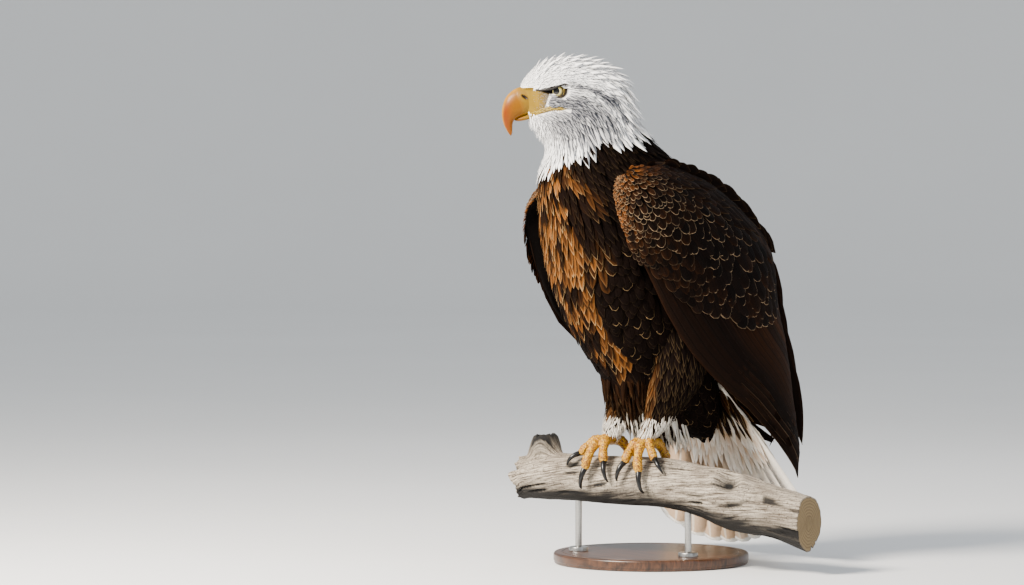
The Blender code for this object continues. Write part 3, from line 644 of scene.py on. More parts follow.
def bare_skin(name, dark, light, seam, cells_per_metre, relief, sockets):
    """Bare moist skin, such as the gape and the rim of the lids: smooth, waxy, with fine darker creases."""
    made, tree = start_material(name, sockets)
    spot = add(tree, "TexCoord", output="Object")
    cloud = add(tree, "TexNoise", {"Vector": spot, "Scale": cells_per_metre * 0.4, "Detail": 4.0})
    cells = add(tree, "TexVoronoi", {"Vector": spot, "Scale": cells_per_metre})
    tone = add(tree, "MapRange", (cloud, 0.35, 0.65))
    crease = add(tree, "MapRange", (cells, 0.38, 0.72))
    colour = add(tree, "Mix", {0: tone, A: dark, B: light}, **COLOURS)
    colour = add(tree, "Mix", {0: crease, A: colour, B: seam}, **COLOURS)
    raised = add(tree, "Math", (1.0, cells), operation="SUBTRACT")
    return close_material(made, colour, raised, relief, 0.8)


# creases 1 mm apart on the face and small plates 2 mm wide on the feet
DOWNY_SKIN = skin_material()
WAXY_SKIN = bare_skin("bare_waxy_skin", "#8E7414", "#C2A636", "#6A5210", 1000.0, 0.0002,
                      {"Roughness": 0.42, "IOR": 1.45, "Coat Weight": 0.15, "Coat Roughness": 0.3})
# painted shadow: near-black skin for the lid's rim and fold and the brow ridge, where the brow shades the eye
SHADOW_SKIN = bare_skin("painted_shadow_skin", "#0B0806", "#1C140F", "#080504", 1000.0, 0.0002,
                      {"Roughness": 0.5, "IOR": 1.45})
FOOT_SKIN = bare_skin("scaled_foot_skin", "#A86800", "#DFAC06", "#6A3C00", 520.0, 0.0007,
                      {"Roughness": 0.46, "IOR": 1.5, "Coat Weight": 0.12, "Coat Roughness": 0.35})


def bill_horn():
    """Bill horn, solid keratin worn smooth: waxy gloss, amber hook, olive cere; painted highlight on top,
    shade in nostril.
    """
    made, tree = start_material("bill_keratin", {"Roughness": 0.38, "IOR": 1.54, "Coat Weight": 0.05,
                                                 "Coat Roughness": 0.22, "Specular IOR Level": 0.12})
    seat, tip, ridge = marks_of(tree, "horn")
    nostril_shade = add(tree, "Attribute", output="Fac", attribute_name="dark")
    spot = add(tree, "TexCoord", output="Object")
    cloud = add(tree, "TexNoise", {"Vector": spot, "Scale": 130.0, "Detail": 5.0})  # of 8 mm
    fleck = add(tree, "MapRange", (cloud, 0.45, 0.75, 0.0, 0.25))
    amber = add(tree, "Mix", {0: tip, A: "#764900", B: "#702E00"}, **COLOURS)
    # painted highlight: a pale band along the ridge and a patch on the lip under the nostril
    horn = add(tree, "Mix", {0: ridge, A: amber, B: "#A87A28"}, **COLOURS)
    cere = add(tree, "Mix", {0: cloud, A: "#6C510C", B: "#86661A"}, **COLOURS)
    # painted shade: near-black in the nostril's hollow
    for share, tint in ((seat, cere), (fleck, "#563404"), (nostril_shade, "#120A06")):
        horn = add(tree, "Mix", {0: share, A: horn, B: tint}, **COLOURS)
    return close_material(made, horn, cloud, 0.0005, 0.35)


def talon_horn():
    """Claw horn, layered black keratin: glossy, with faint layers about 1.5 mm apart."""
    made, tree = start_material("talon_keratin", {"Roughness": 0.3, "IOR": 1.54, "Coat Weight": 0.1,
                                                  "Coat Roughness": 0.15, "Specular IOR Level": 0.3})
    spot = add(tree, "TexCoord", output="Object")
    layers = add(tree, "TexNoise", {"Vector": spot, "Scale": 700.0, "Detail": 3.0})
    colour = add(tree, "Mix", {0: layers, A: "#050506", B: "#161515"}, **COLOURS)
    return close_material(made, colour, layers, 0.0003, 0.4)


def glass_eye():
    """A lampworked glass eye: a clear hard skin over a pale straw iris with fine spokes and a black pupil."""
    made, tree = start_material("lampworked_glass_eye", {
        "Roughness": 0.25, "IOR": 1.5, "Specular IOR Level": 0.2, "Coat Weight": 1.0, "Coat Roughness": 0.02,
        "Coat IOR": 1.36})
    polar, turn, _ = marks_of(tree, "iris")
    spokes = add(tree, "TexNoise", {"W": turn, "Scale": 30.0, "Detail": 4.0}, noise_dimensions="1D")
    straw = add(tree, "Mix", {0: spokes, A: "#9C8B3C", B: "#F2E7A6"}, **COLOURS)
    for low, high, tint in ((0.66, 0.88, "#8F7A2A"), (0.94, 1.02, "#120E08"), (0.53, 0.47, "#050505")):
        ring = add(tree, "MapRange", (polar, low, high))
        straw = add(tree, "Mix", {0: ring, A: straw, B: tint}, **COLOURS)
    return close_material(made, straw)


def weathered_wood():
    """Dead pine without its bark, dried and silvered in the open: matt, raised grain, dark in its cracks,
    painted shade below.
    """
    made, tree = start_material("weathered_pine", {"Roughness": 0.88, "IOR": 1.45})
    dark, sawn, out = marks_of(tree, "wood")
    strands = add(tree, "Attribute", output="Vector", attribute_name="grain")
    spot = add(tree, "TexCoord", output="Object")
    # strands 30 mm long and 2 mm wide
    grain = add(tree, "TexNoise", {"Vector": strands, "Scale": 2.4, "Detail": 8.0, "Roughness": 0.7})
    stain = add(tree, "TexNoise", {"Vector": spot, "Scale": 17.0, "Detail": 5.0})  # of 60 mm
    specks = add(tree, "TexNoise", {"Vector": spot, "Scale": 330.0, "Detail": 5.0, "Roughness": 0.7})  # 3 mm
    tone = add(tree, "MapRange", (grain, 0.38, 0.62))
    patch = add(tree, "MapRange", (stain, 0.5, 0.72, 0.0, 0.65))
    pore = add(tree, "MapRange", (specks, 0.54, 0.64, 0.0, 0.8))
    waver = add(tree, "Math", (stain, 9.0), operation="MULTIPLY")
    rings = add(tree, "Math", (out, 2 * math.pi / RING_SPACING, waver), operation="MULTIPLY_ADD")
    rings = add(tree, "Math", (rings,), operation="SINE")
    late = add(tree, "Mix", {0: rings, A: "#84704E", B: "#67543A"}, **COLOURS)
    wood = add(tree, "Mix", {0: tone, A: "#3A2E24", B: "#CFC2AE"}, **COLOURS)
    # the dark share is cracks, knot and splinters, with painted shade on the underside
    for share, tint in ((patch, "#6B5F52"), (pore, "#2C2118"), (dark, "#0C0907"), (sawn, late)):
        wood = add(tree, "Mix", {0: share, A: wood, B: tint}, **COLOURS)
    return close_material(made, wood, grain, 0.0026, 0.9)


def oiled_walnut():
    """Walnut, turned on a lathe and oiled: satin, straight dark grain about 4 mm apart, open pores."""
    made, tree = start_material("oiled_walnut", {"Roughness": 0.38, "IOR": 1.47, "Coat Weight": 0.25,
                                                 "Coat Roughness": 0.25})
    spot = add(tree, "TexCoord", output="Object")
    stretched = add(tree, "Mapping", {"Vector": spot, "Scale": (12.0, 240.0, 60.0)})
    grain = add(tree, "TexNoise", {"Vector": stretched, "Scale": 1.0, "Detail": 6.0, "Distortion": 0.8})
    tone = add(tree, "MapRange", (grain, 0.3, 0.7))
    wood = add(tree, "Mix", {0: tone, A: "#23150D", B: "#5B3A24"}, **COLOURS)
    return close_material(made, wood, grain, 0.0003, 0.3)


def brushed_steel():
    """Stainless steel, drawn and brushed round with fine grit: bright, its fine rings 0.4 mm apart."""
    made, tree = start_material("brushed_stainless_steel", {"Metallic": 1.0, "Roughness": 0.32})
    spot = add(tree, "TexCoord", output="Object")
    stretched = add(tree, "Mapping", {"Vector": spot, "Scale": (60.0, 60.0, 2500.0)})
    lines = add(tree, "TexNoise", {"Vector": stretched, "Scale": 1.0, "Detail": 3.0})
    tone = add(tree, "Mix", {0: lines, A: "#9C9B98", B: "#C9C8C4"}, **COLOURS)
    return close_material(made, tone, lines, 0.0001, 0.4)


# ---------------------------------------------------------------- mesh helpers


def mesh_object(name, points, faces, material, marks=None):
    """A smooth mesh object; marks are named values at its points."""
    mesh = bpy.data.meshes.new(name)
    mesh.from_pydata([tuple(p) for p in points], [], [tuple(int(i) for i in f) for f in faces])
    for label, values in (marks or {}).items():
        mark(mesh, label, values)
    mesh.shade_smooth()
    mesh.materials.append(material)
    return placed(name, mesh)


def quads(rows, columns):
    """The faces between rings."""
    row, column = np.arange(rows - 1)[:, None] * columns, np.arange(columns)[None, :]
    following = (column + 1) % columns
    faces = np.stack([row + column, row + following, row + columns + following, row + columns + column], -1)
    return faces.reshape(-1, 4)


def closed_shell(grid):
    """Points and faces of a closed form over rings, with a fan over each end; rings run round to the left."""
    rows, columns, _ = grid.shape
    first, last, around = rows * columns, rows * columns + 1, [(k, (k + 1) % columns) for k in range(columns)]
    faces = [tuple(f) for f in quads(rows, columns)] + [(b, a, first) for a, b in around]
    faces += [(a + (rows - 1) * columns, b + (rows - 1) * columns, last) for a, b in around]
    return ends(grid), faces


def ends(values):
    """Values at the points of a closed shell, from those of its grid."""
    return np.concatenate((values.reshape(-1, values.shape[-1]), values[:1].mean(1), values[-1:].mean(1)))


def tube(path, radius, sides, upright):
    """Rings square to a path; the radius may change along it and round it."""
    ahead = unit(np.gradient(path, axis=0))
    right = unit(np.cross(ahead, upright))
    above = np.cross(right, ahead)
    angle = 2 * math.pi * np.arange(sides) / sides
    ring = right[:, None] * np.cos(angle)[None, :, None] + above[:, None] * np.sin(angle)[None, :, None]
    radius = np.broadcast_to(np.asarray(radius).reshape(len(path), -1), (len(path), sides))
    return path[:, None] + ring * radius[..., None]


def face_out(made):
    """Turns a closed object's faces outward."""
    shape = bmesh.new()
    shape.from_mesh(made.data)
    bmesh.ops.recalc_face_normals(shape, faces=shape.faces)
    shape.to_mesh(made.data)
    shape.free()
    return made


def solid(name, grid, material, **marks):
    """A closed piece over rings; marks are values over its grid."""
    points, faces = closed_shell(grid)
    return face_out(mesh_object(name, points, faces, material, {k: ends(v) for k, v in marks.items()}))


def grown(name, grids, material, voxel, *steps):
    """Several closed forms grown into one piece, with further steps that smooth or thin it."""
    points, faces, offset = [], [], 0
    for grid in grids:
        more, sides = closed_shell(grid)
        points.append(more)
        faces += [tuple(int(i) + offset for i in f) for f in sides]
        offset += len(more)
    rough = face_out(mesh_object(name + "_forms", np.concatenate(points), faces, material))
    for kind, settings in (("REMESH", {"mode": "VOXEL", "voxel_size": voxel}), *steps):
        step = rough.modifiers.new(kind, kind)
        for setting, value in settings.items():
            setattr(step, setting, value)
    mesh = bpy.data.meshes.new_from_object(rough.evaluated_get(bpy.context.evaluated_depsgraph_get()))
    bpy.data.objects.remove(rough)
    mesh.name = name
    mesh.shade_smooth()
    return placed(name, mesh)


def patchwork(u, v, cells_u, cells_v, seed):
    """Smooth random heights from 0 to 1 on a grid of cells; it closes on itself in v."""
    values = np.random.default_rng(seed).random((cells_u + 2, cells_v))
    x, y = np.clip(u, 0, 1) * cells_u, (v % 1.0) * cells_v
    i, j = x.astype(int), y.astype(int) % cells_v
    s, t = x - i, y - np.floor(y)
    s, t = s * s * (3 - 2 * s), t * t * (3 - 2 * t)
    k = (j + 1) % cells_v
    low = values[i, j] * (1 - s) + values[i + 1, j] * s
    high = values[i, k] * (1 - s) + values[i + 1, k] * s
    return low * (1 - t) + high * t


def dress(made, slot, *nodes):
    """The piece rides on the bird's one body and stands for the nodes; the slot is not used."""
    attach(made, "root")
    if nodes:
        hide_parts(*nodes)
    return made


# ---------------------------------------------------------------- the marks and bare places of the head


def brow_edge(ahead):
    """The height of the brow feathers' lower edge, in head millimetres."""
    return brow_line(ahead) + np.interp(ahead, (-14, -4, 12, 26, 34), (-2.0, 1.0, 1.8, 0.0, -3.2))


def gape_top(ahead):
    return np.interp(ahead, (-14, -8, 10, 24, 44), (-29.0, -28.5, -28.0, -30.5, -40.0))


def gape_low(ahead):
    return np.interp(ahead, (-14, -8, 10, 26, 44), (-33.0, -34.0, -35.0, -39.0, -45.0))


def eye_opening(ahead, above):
    """Below 1 inside the eye's opening with its lids."""
    return ((ahead - EYE_PLACE[0] - 1.0) / 14.0) ** 2 + ((above - EYE_PLACE[1] - 0.5) / 12.5) ** 2


def brow_shade(ahead, above):
    """The dark wedge under the brow, deepest just before the eye."""
    brow = brow_line(ahead)
    thick = np.interp(ahead, (-22, -8, 6, 16, 30), (3.0, 6.0, 12.0, 10.0, 3.0))
    shade = smooth(brow - above, -4.0, -2.0) * smooth(above - brow + thick, -2.0, 1.5)
    return shade * smooth(ahead, -28, -16) * smooth(-ahead, -38, -28)


def bare_face(points):
    """True where the face carries no feathers: the eye, the lore, the gape and the bill's seat."""
    side, ahead, above = head_place(points)
    lore = (ahead > 15 - 0.35 * (above + 12)) & (above < brow_edge(ahead)) & (above > gape_low(ahead) + 1.0)
    gape = (ahead > -15) & (above < gape_top(ahead) + 1.5) & (above > gape_low(ahead) - 0.5)
    opening = (eye_opening(ahead, above) < 1) & (above < brow_edge(ahead) + 1.2)
    seat = (ahead > 38) & (above < 2.5) & (above > -47)
    return ((lore | gape) & (np.abs(side) > 6)) | opening | seat


def lore_crease(ahead, above):
    """The wave of the fine creases that run along the lore, from -1 to 1."""
    return np.sin((above - gape_top(ahead)) * 2.1 + 0.12 * ahead)


def white_limit(angle):
    """The station where the roots of the white feathers end: far down the nape, sooner at the throat."""
    return 6.7 + 1.15 * np.cos(angle) + 0.16 * np.sin(7 * angle + 1.0) + 0.12 * np.sin(17 * angle)


def coat_depth(place):
    """How deep the coat is over the skin, from the face to the belly."""
    return np.interp(place, (0, 2, 4, 6, 7.5, 9, 12, 19), (1.6, 2.0, 3.0, 5.0, 6.5, 7.5, 9.0, 6.0)) * MM


def chart_round(turn, down):
    """A place on a bake chart: the turn round a form one way and the share down it the other."""
    return np.stack(((turn / (2 * math.pi)) % 1.0, down), -1)


def wing_chart(uv):
    return np.stack((np.clip(uv[:, 1], 0, 1) * 0.98 + 0.01, np.clip(uv[:, 0], 0, 1)), -1)


def tail_chart(uv):
    turn = (uv[:, 0] - TAIL_SPREAD[0]) / (TAIL_SPREAD[1] - TAIL_SPREAD[0])
    return np.stack((np.clip(turn, 0, 1), np.clip(uv[:, 1] / TAIL_LENGTH, 0, 1)), -1)


BODY = Ground(body_surface, lambda uv: chart_round(uv[:, 1], uv[:, 0] / LAST_STATION), (12.0, math.pi / 2),
              (1, 0, 0))
WINGS = {side: Ground(wing_surface(side), wing_chart, (0.3, 0.3), (side, 0, 0)) for side in (1, -1)}
THIGHS = {side: Ground(thigh_surface(side), lambda uv: chart_round(uv[:, 1], np.clip(uv[:, 0] / 7.0, 0, 1)),
                       (2.0, 0.0), (1, 0, 0)) for side in (1, -1)}
TAIL_FRONT, TAIL_BACK = (Ground(tail_surface, tail_chart, (0.0, 0.25), (0, y, 0)) for y in (-1, 1))

# ---------------------------------------------------------------- the skin

SKIN_VOXEL = 0.0027
FACE_END = 3.7  # the station where the face's fine skin ends


def grid_of(rows, columns):
    return np.stack(np.meshgrid(rows, columns, indexing="ij"), -1)


def flesh_forms():
    """Closed forms of the flesh inside the solids: head to rump, thighs and the arms of the wings."""
    turns = np.linspace(-math.pi, math.pi, 120, endpoint=False)
    uv = grid_of(np.concatenate((np.linspace(0.12, 7, 90), np.linspace(7.2, 18.0, 60))), turns)
    points, normals, _, _ = BODY.frame(uv)
    yield points - normals * coat_depth(uv[..., :1])
    for side in (1, -1):
        uv = grid_of(np.linspace(0.0, 5.6, 34), turns[::3])
        points, normals, _, _ = THIGHS[side].frame(uv)
        yield points - normals * 8 * MM
        shares, across = np.linspace(0.012, 0.56, 40), np.linspace(0.035, 0.94, 26)
        outer = grid_of(shares, across)
        face, normals, _, _ = WINGS[side].frame(outer)
        thick = at_share(WING_STATIONS, outer[..., 0])[4] * (1.0 - (2.0 * outer[..., 1] - 1.0) ** 4)
        late = smooth(outer[..., :1], 0.1, 0.3)
        deep = (1.5 + 3.0 * np.maximum(late, smooth(outer[..., 1:], 0.0, 0.15)) + 5.0 * late) * MM
        flesh = np.maximum(thick[..., None] - deep - 3 * MM, 4 * MM)
        face = face - normals * deep
        yield np.concatenate((face, (face - normals * flesh)[:, ::-1]), 1)


def skin_marks(points, places, angles, on_body):
    """White, bare and painted-shadow shares of the skin; on the bare face the first tells how grey it is."""
    side, ahead, above = head_place(points)
    white = on_body * np.maximum(smooth(white_limit(angles) - places, -0.1, 0.1), smooth(places, 16.0, 16.6))
    near_head = (places < FACE_END) & (on_body > 0.5)
    bare = (near_head & bare_face(points)).astype(float)
    streak = 0.5 + 0.5 * lore_crease(ahead, above)
    grey = smooth(-ahead, -34, -12) * (0.45 + 0.55 * streak)
    # painted shadow: a black ring round the eye's opening and the wedge under the brow
    ring = bump(eye_opening(ahead, above) - 0.85, 0.38)
    dark = near_head * np.maximum(ring, brow_shade(ahead, above)) * (np.abs(side) > 10)
    return np.stack((np.where(bare > 0.5, grey, white), bare, dark), -1)


def build_skin():
    """The flesh as one skin, with its markings read from the nearest place of the body's outline."""
    made = grown("skin", flesh_forms(), DOWNY_SKIN, SKIN_VOXEL, ("SMOOTH", {"factor": 0.5, "iterations": 2}),
                 ("DECIMATE", {"ratio": 0.45}))
    co = np.empty(len(made.data.vertices) * 3, np.float32)
    made.data.vertices.foreach_get("co", co)
    co = co.reshape(-1, 3).astype(float)
    uv = grid_of(np.linspace(0, LAST_STATION, 230), np.linspace(-math.pi, math.pi, 90, endpoint=False))
    uv = uv.reshape(-1, 2)
    tree = tree_of(body_surface(uv))
    _, nearest, gap = zip(*(tree.find(point) for point in co))
    nearest, on_body = np.array(nearest), smooth(-np.array(gap), -0.022, -0.014)
    mark(made.data, "marking", skin_marks(co, uv[nearest, 0], uv[nearest, 1], on_body))
    return made


def face_shell():
    """The face's skin in fine detail, with the creases of the lore; it is grown into the one skin."""
    rows, sides = ((150, 230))
    uv = grid_of(np.linspace(0.1, FACE_END, rows), np.linspace(-math.pi, math.pi, sides, endpoint=False))
    points, normals, _, _ = BODY.frame(uv)
    _, ahead, above = head_place(points)
    crease = lore_crease(ahead, above) * bare_face(points) * smooth(-ahead, -52, -40)
    raised = 0.45 * MM * smooth(-uv[..., 0], -FACE_END, -3.3) + 0.22 * MM * crease
    points = points - normals * (coat_depth(uv[..., 0]) - raised)[..., None]
    marks = skin_marks(points, uv[..., 0], uv[..., 1], np.ones(uv.shape[:2]))
    return solid("face_skin", points, DOWNY_SKIN, marking=marks)


def join_into(target, parts):
    bpy.ops.object.select_all(action="DESELECT")
    for part in [target, *parts]:
        part.select_set(True)
    bpy.context.view_layer.objects.active = target
    bpy.ops.object.join()
    target.select_set(False)
    return target


# ---------------------------------------------------------------- the face: lids, gape, bill and eyes


def face_tree():
    """The face's skin as a tree of triangles, for setting things on it."""
    uv = grid_of(np.linspace(0.05, 5, 160), np.linspace(-math.pi, math.pi, 160, endpoint=False))
    points, normals, _, _ = BODY.frame(uv)
    shell, faces = closed_shell(points - normals * coat_depth(uv[..., :1]))
    return BVHTree.FromPolygons([tuple(p) for p in shell], faces)


FACE = face_tree()


def on_face(side, ahead, above, out=0.0):
    """The skin's point straight out to one side at a place of the head, raised by out millimetres."""
    start, end = head(side * 90.0, ahead, above), head(0.0, ahead, above)
    direction = Vector(unit(end - start))
    hit = FACE.ray_cast(Vector(start), direction)[0]
    return np.array(hit if hit else end) - np.array(direction) * out * MM


GAZE_AHEAD, GAZE_DOWN = math.radians(62), math.radians(2)  # the eye's axis: from straight ahead to the side


def eye_axes(side):
    """The eye's middle, its axis, and its level and upright directions."""
    middle, origin = head(side * EYE_SIDE / MM, *EYE_PLACE), head(0.0, 0.0, 0.0)
    gaze = head(side * math.sin(GAZE_AHEAD), math.cos(GAZE_AHEAD), -math.sin(GAZE_DOWN))
    axis = unit(gaze - origin)
    level = unit(np.cross(axis, (0.0, 0.0, 1.0))) * -side
    return middle, axis, level, unit(np.cross(level, axis) * side)


def roll(name, path, radius, sides, material):
    """A soft roll of skin along a path."""
    return solid(name, tube(path, np.broadcast_to(radius, len(path)), sides, (0.0, 0.0, 1.0)), material)


def eyelids(side):
    """The eye's rim and fold and the bony brow, black with painted shadow, and the pale crescent under and
    behind it.
    """
    middle, axis, level, up = eye_axes(side)
    level = level * math.copysign(1.0, float(np.dot(level, head(0, 1, 0) - head(0, 0, 0))))

    def round_eye(turn, spread, out):
        turn = np.radians(turn)
        angle = np.radians(spread - 4 * np.maximum(np.sin(turn), 0) ** 2)
        ring = np.sin(angle)[:, None] * (np.cos(turn)[:, None] * level + np.sin(turn)[:, None] * up)
        return middle + (np.cos(angle)[:, None] * axis + ring) * (EYE_RADIUS + out * MM)

    crescent = 1.25 * MM * np.sin(math.pi * np.linspace(0.02, 0.98, 70)) ** 0.7
    ahead = np.linspace(35.0, -20.0, 60)
    above, out = brow_line(ahead) - 2.4, 1.0 + 3.2 * bump(ahead - 4.0, 18.0)
    brow = np.array([on_face(side, a, b, o) for a, b, o in zip(ahead, above, out)])
    brow[1:-1] = (brow[:-2] + brow[1:-1] * 2 + brow[2:]) / 4
    ridge = 2.3 * MM * np.sin(math.pi * np.linspace(0.03, 0.97, 60)) ** 0.6
    return [roll("lid_rim", round_eye(np.linspace(0, 360, 100), 58, 0.3), 0.8 * MM, 12, SHADOW_SKIN),
            roll("lid_crescent", round_eye(np.linspace(118, 322, 70), 65.5, 0.55), crescent, 12, WAXY_SKIN),
            roll("lid_fold", round_eye(np.linspace(-40, 120, 60), 69, -0.1), 1.3 * MM, 12, SHADOW_SKIN),
            roll("brow_ridge", brow, ridge, 12, SHADOW_SKIN)]


def gape(side):
    """The fleshy yellow corner of the mouth, running back under the eye in three soft folds."""
    made, share = [], np.linspace(0, 1, 40)
    for drop, shift, radius in ((0.0, 0.0, 1.15), (3.0, 4.0, 1.15), (5.4, 0.0, 0.7)):
        ahead = np.linspace(42.0 - drop, -10.0 + abs(drop - 3.0), 40) - shift
        above = np.interp(ahead, (-14, -8, 10, 24, 44), (-29.5, -29.5, -28.8, -31.5, -41.0)) - drop * 0.8
        above = above + 0.4 * np.sin(ahead * 0.55 + drop)
        path = np.array([on_face(side, a, b, 0.5) for a, b in zip(ahead, above)])
        thick = radius * MM * (0.25 + 0.75 * np.sin(math.pi * np.clip(share * 0.85 + 0.12, 0, 1)) ** 0.6)
        made.append(roll("gape_fold", path, thick, 10, WAXY_SKIN))
    return made


def bill_half(name, stations, rows, sides):
    """One half of the bill between its ridge and its cutting edge, with nostrils and the cere's step."""
    table = along(stations, np.linspace(0, len(stations) - 1, rows))[:, None, :]
    angle = (2 * math.pi * np.arange(sides) / sides)[None, :]
    top_ahead, top_above, low_ahead, low_above, half = np.moveaxis(table, -1, 0)
    height, wave = 0.5 + 0.5 * np.cos(angle), np.sin(angle)
    side = half * np.sign(wave) * np.abs(wave) ** 0.85 * (0.8 + 0.25 * (1 - height))
    ahead = low_ahead + (top_ahead - low_ahead) * height
    above = low_above + (top_above - low_above) * height
    share = np.broadcast_to(np.linspace(0, 1, rows)[:, None], side.shape)
    cere_line = ahead - 0.22 * above - 62.5 + 1.5 * np.sin(above * 0.16)
    slit_along = slit_across = np.full_like(side, 99.0)
    if name == "bill_upper":
        slit_along = (ahead - 51.0) * 0.83 + (above + 12.5) * 0.555
        slit_across = (ahead - 51.0) * 0.555 - (above + 12.5) * 0.83
        dent = 2.4 * bump(slit_along, 5.6) * bump(slit_across, 2.2)
        lip = 0.7 * bump(np.hypot(slit_along / 6.4, slit_across / 3.2) - 1.0, 0.35)
        step = 0.35 * smooth(-cere_line, -1.6, 1.6)
        festoon = 0.6 * bump(height - 0.06, 0.1) * np.sin(math.pi * share * 3.0) ** 2
        side = side + np.sign(wave) * (lip + step - dent + festoon) * (np.abs(wave) > 0.12)
    cere = smooth(-cere_line, -5.0, 9.0)
    amber = smooth(ahead, 62.0, 84.0) * smooth(share, 0.15, 0.6)
    # painted shade in the nostril's hollow
    nostril = np.clip(4.0 * bump(slit_along, 5.0) * bump(slit_across, 2.0) - 0.3, 0, 1)
    # painted highlight along the ridge and on the lip under the nostril
    pale = np.maximum(bump(height - 1.0, 0.1) * 0.7 * (name == "bill_upper"),
                      0.7 * bump(slit_along + 1.0, 5.5) * bump(slit_across - 4.4, 2.6))
    marks = np.stack(np.broadcast_arrays(cere, amber, np.clip(pale - nostril, 0, 1)), -1)
    return solid(name + "_horn", head(side, ahead, above), BILL_HORN, horn=marks,
                 dark=np.broadcast_to(nostril, side.shape)[..., None])


def eyeball(name, side):
    """A glass eye: a ball with a clear bulge over the iris, seated behind the lids."""
    middle, axis, level, up = eye_axes(side)
    turns = np.linspace(0, 2 * math.pi, 64, endpoint=False)
    polar, turn = np.meshgrid(np.radians(np.linspace(1.5, 178.5, 60)), turns, indexing="ij")
    bulge = 1.0 + 0.035 * smooth(-polar, -1.05, -0.6)
    spot = (np.cos(polar)[..., None] * axis + np.sin(polar)[..., None] *
            (np.cos(turn)[..., None] * level + np.sin(turn)[..., None] * up))
    grid = middle + spot * (bulge * EYE_RADIUS * 0.985)[..., None]
    marks = np.stack((polar, turn / (2 * math.pi), np.zeros_like(turn)), -1)
    return solid(name + "_glass", grid, GLASS_EYE, iris=marks)


# ---------------------------------------------------------------- branch, feet and talons


def branch_size(station):
    return BRANCH_RADIUS + 0.012 * station + 0.004 * bump(station - KNOT_STATION, 0.06)


def branch_centre(station):
    station = np.asarray(station, float)
    bow = -0.4 * np.maximum(station - 0.06, 0) ** 1.6 - 0.15 * np.maximum(-station - 0.1, 0) ** 1.5
    rise = bow - 0.02 * station * bump(station, 0.2) - branch_size(station)
    return PERCH + BRANCH_ALONG * station[..., None] + np.stack((0 * rise, 0 * rise, rise), -1)


def on_branch(station, angle, height):
    """Points at a height over the bark; the angle runs from the crest down the front."""
    station, angle, height = np.broadcast_arrays(np.asarray(station, float), angle, height)
    out = np.array((0.0, 0.0, 1.0)) * np.cos(angle)[..., None] + BRANCH_FRONT * np.sin(angle)[..., None]
    return branch_centre(station) + out * (branch_size(station) + height)[..., None]


def toe_radius(kind, share):
    pads = 0.07 * np.sin(2 * math.pi * (2.5 * share + 0.1))
    return TOES[kind][2] * (1.0 - 0.26 * share + pads)


def toe_height(kind, share):
    lift = FOOT_LIFT * (1.0 - share) + 0.0075 * np.sin(math.pi * share) + 0.0035 * share
    return toe_radius(kind, share) + 0.0006 + lift


def toe_path(side, kind, run, height):
    splay = TOES[kind][0]
    heading = HIND_HEADING[side] if splay is None else FOOT_HEADING[side] + side * splay * TOE_SPLAY
    station = STANCE[side] - run * math.sin(heading)
    return on_branch(station, FOOT_ANGLE + run * math.cos(heading) / branch_size(station), height)


SCUTE, PEBBLE = 0.0043, 0.0021  # the length of one plate on a toe's back, and of a pebble's wave below it
FOOT_VOXEL = 0.0009
CAP_SHARES = 0.93, 0.75, 0.5, 0.25  # the rings that close the branch's ends
SPIRAL = 5.0  # how far the branch's grain winds round it, radians to the metre


def scutes(run, angle, depth):
    """Overlapping plates across the top and pebbled pads below; angle 90 degrees is the top."""
    top = smooth(np.sin(angle), -0.15, 0.45)
    plate = depth * ((run / SCUTE) % 1.0 - 0.5)
    pebble = 0.35 * depth * np.sin(run / PEBBLE) * np.sin(angle * 9.0)
    return top * plate + (1 - top) * pebble


def off_the_bark(side):
    """The direction straight off the bark under a foot."""
    return on_branch(STANCE[side], FOOT_ANGLE, 0.05) - branch_centre(STANCE[side])


def foot(name, side):
    """The bare tarsus and four toes, grown together."""
    forms, spin = [], 2 * math.pi * np.arange(36) / 36
    for kind in TOES:
        share = np.linspace(0, 1, 90)
        run = share * TOES[kind][1]
        path = toe_path(side, kind, run, toe_height(kind, share))
        radius = toe_radius(kind, share)[:, None] + scutes(run[:, None], spin[None, :], 0.0015)
        forms.append(tube(path, radius, 36, off_the_bark(side)))
    x, forward, height = ANKLE
    top = bird(side * x + LEAN[side], forward, height + 0.012)
    end = on_branch(STANCE[side], FOOT_ANGLE, 0.008 + FOOT_LIFT)
    share = np.linspace(0, 1, 110)
    run = share * np.linalg.norm(end - top)
    body = TARSUS_RADIUS * (1.0 + 0.1 * smooth(share, 0.5, 0.8) - 0.12 * smooth(share, 0.85, 1.0))
    radius = body[:, None] + scutes(run[:, None], spin[None, :] + math.pi / 2, 0.0014)
    forms.append(tube(top + (end - top) * share[:, None], radius, 36, (1.0, 0.0, 0.0)))
    return grown(name, forms, FOOT_SKIN, FOOT_VOXEL)


def talon(name, side, kind):
    """A claw that curves from the toe's end down to the bark, keeled along its back."""
    _, length, _, reach = TOES[kind]
    share = np.linspace(0, 1, 34)
    start = float(toe_height(kind, 1.0))
    run = length - 0.002 + reach * 0.74 * np.sin(share * math.radians(78))
    height = start + 0.005 * np.sin(math.pi * share) - (start - 0.0014) * share**1.7
    radius = 0.76 * float(toe_radius(kind, 1.0)) * (1.0 - share) ** 0.68 + 0.00035
    keel = 1.0 + 0.1 * np.sin(2 * math.pi * np.arange(20) / 20)[None, :] ** 3
    grid = tube(toe_path(side, kind, run, height), radius[:, None] * keel, 20, off_the_bark(side))
    return solid(name + "_horn", grid, TALON_HORN)


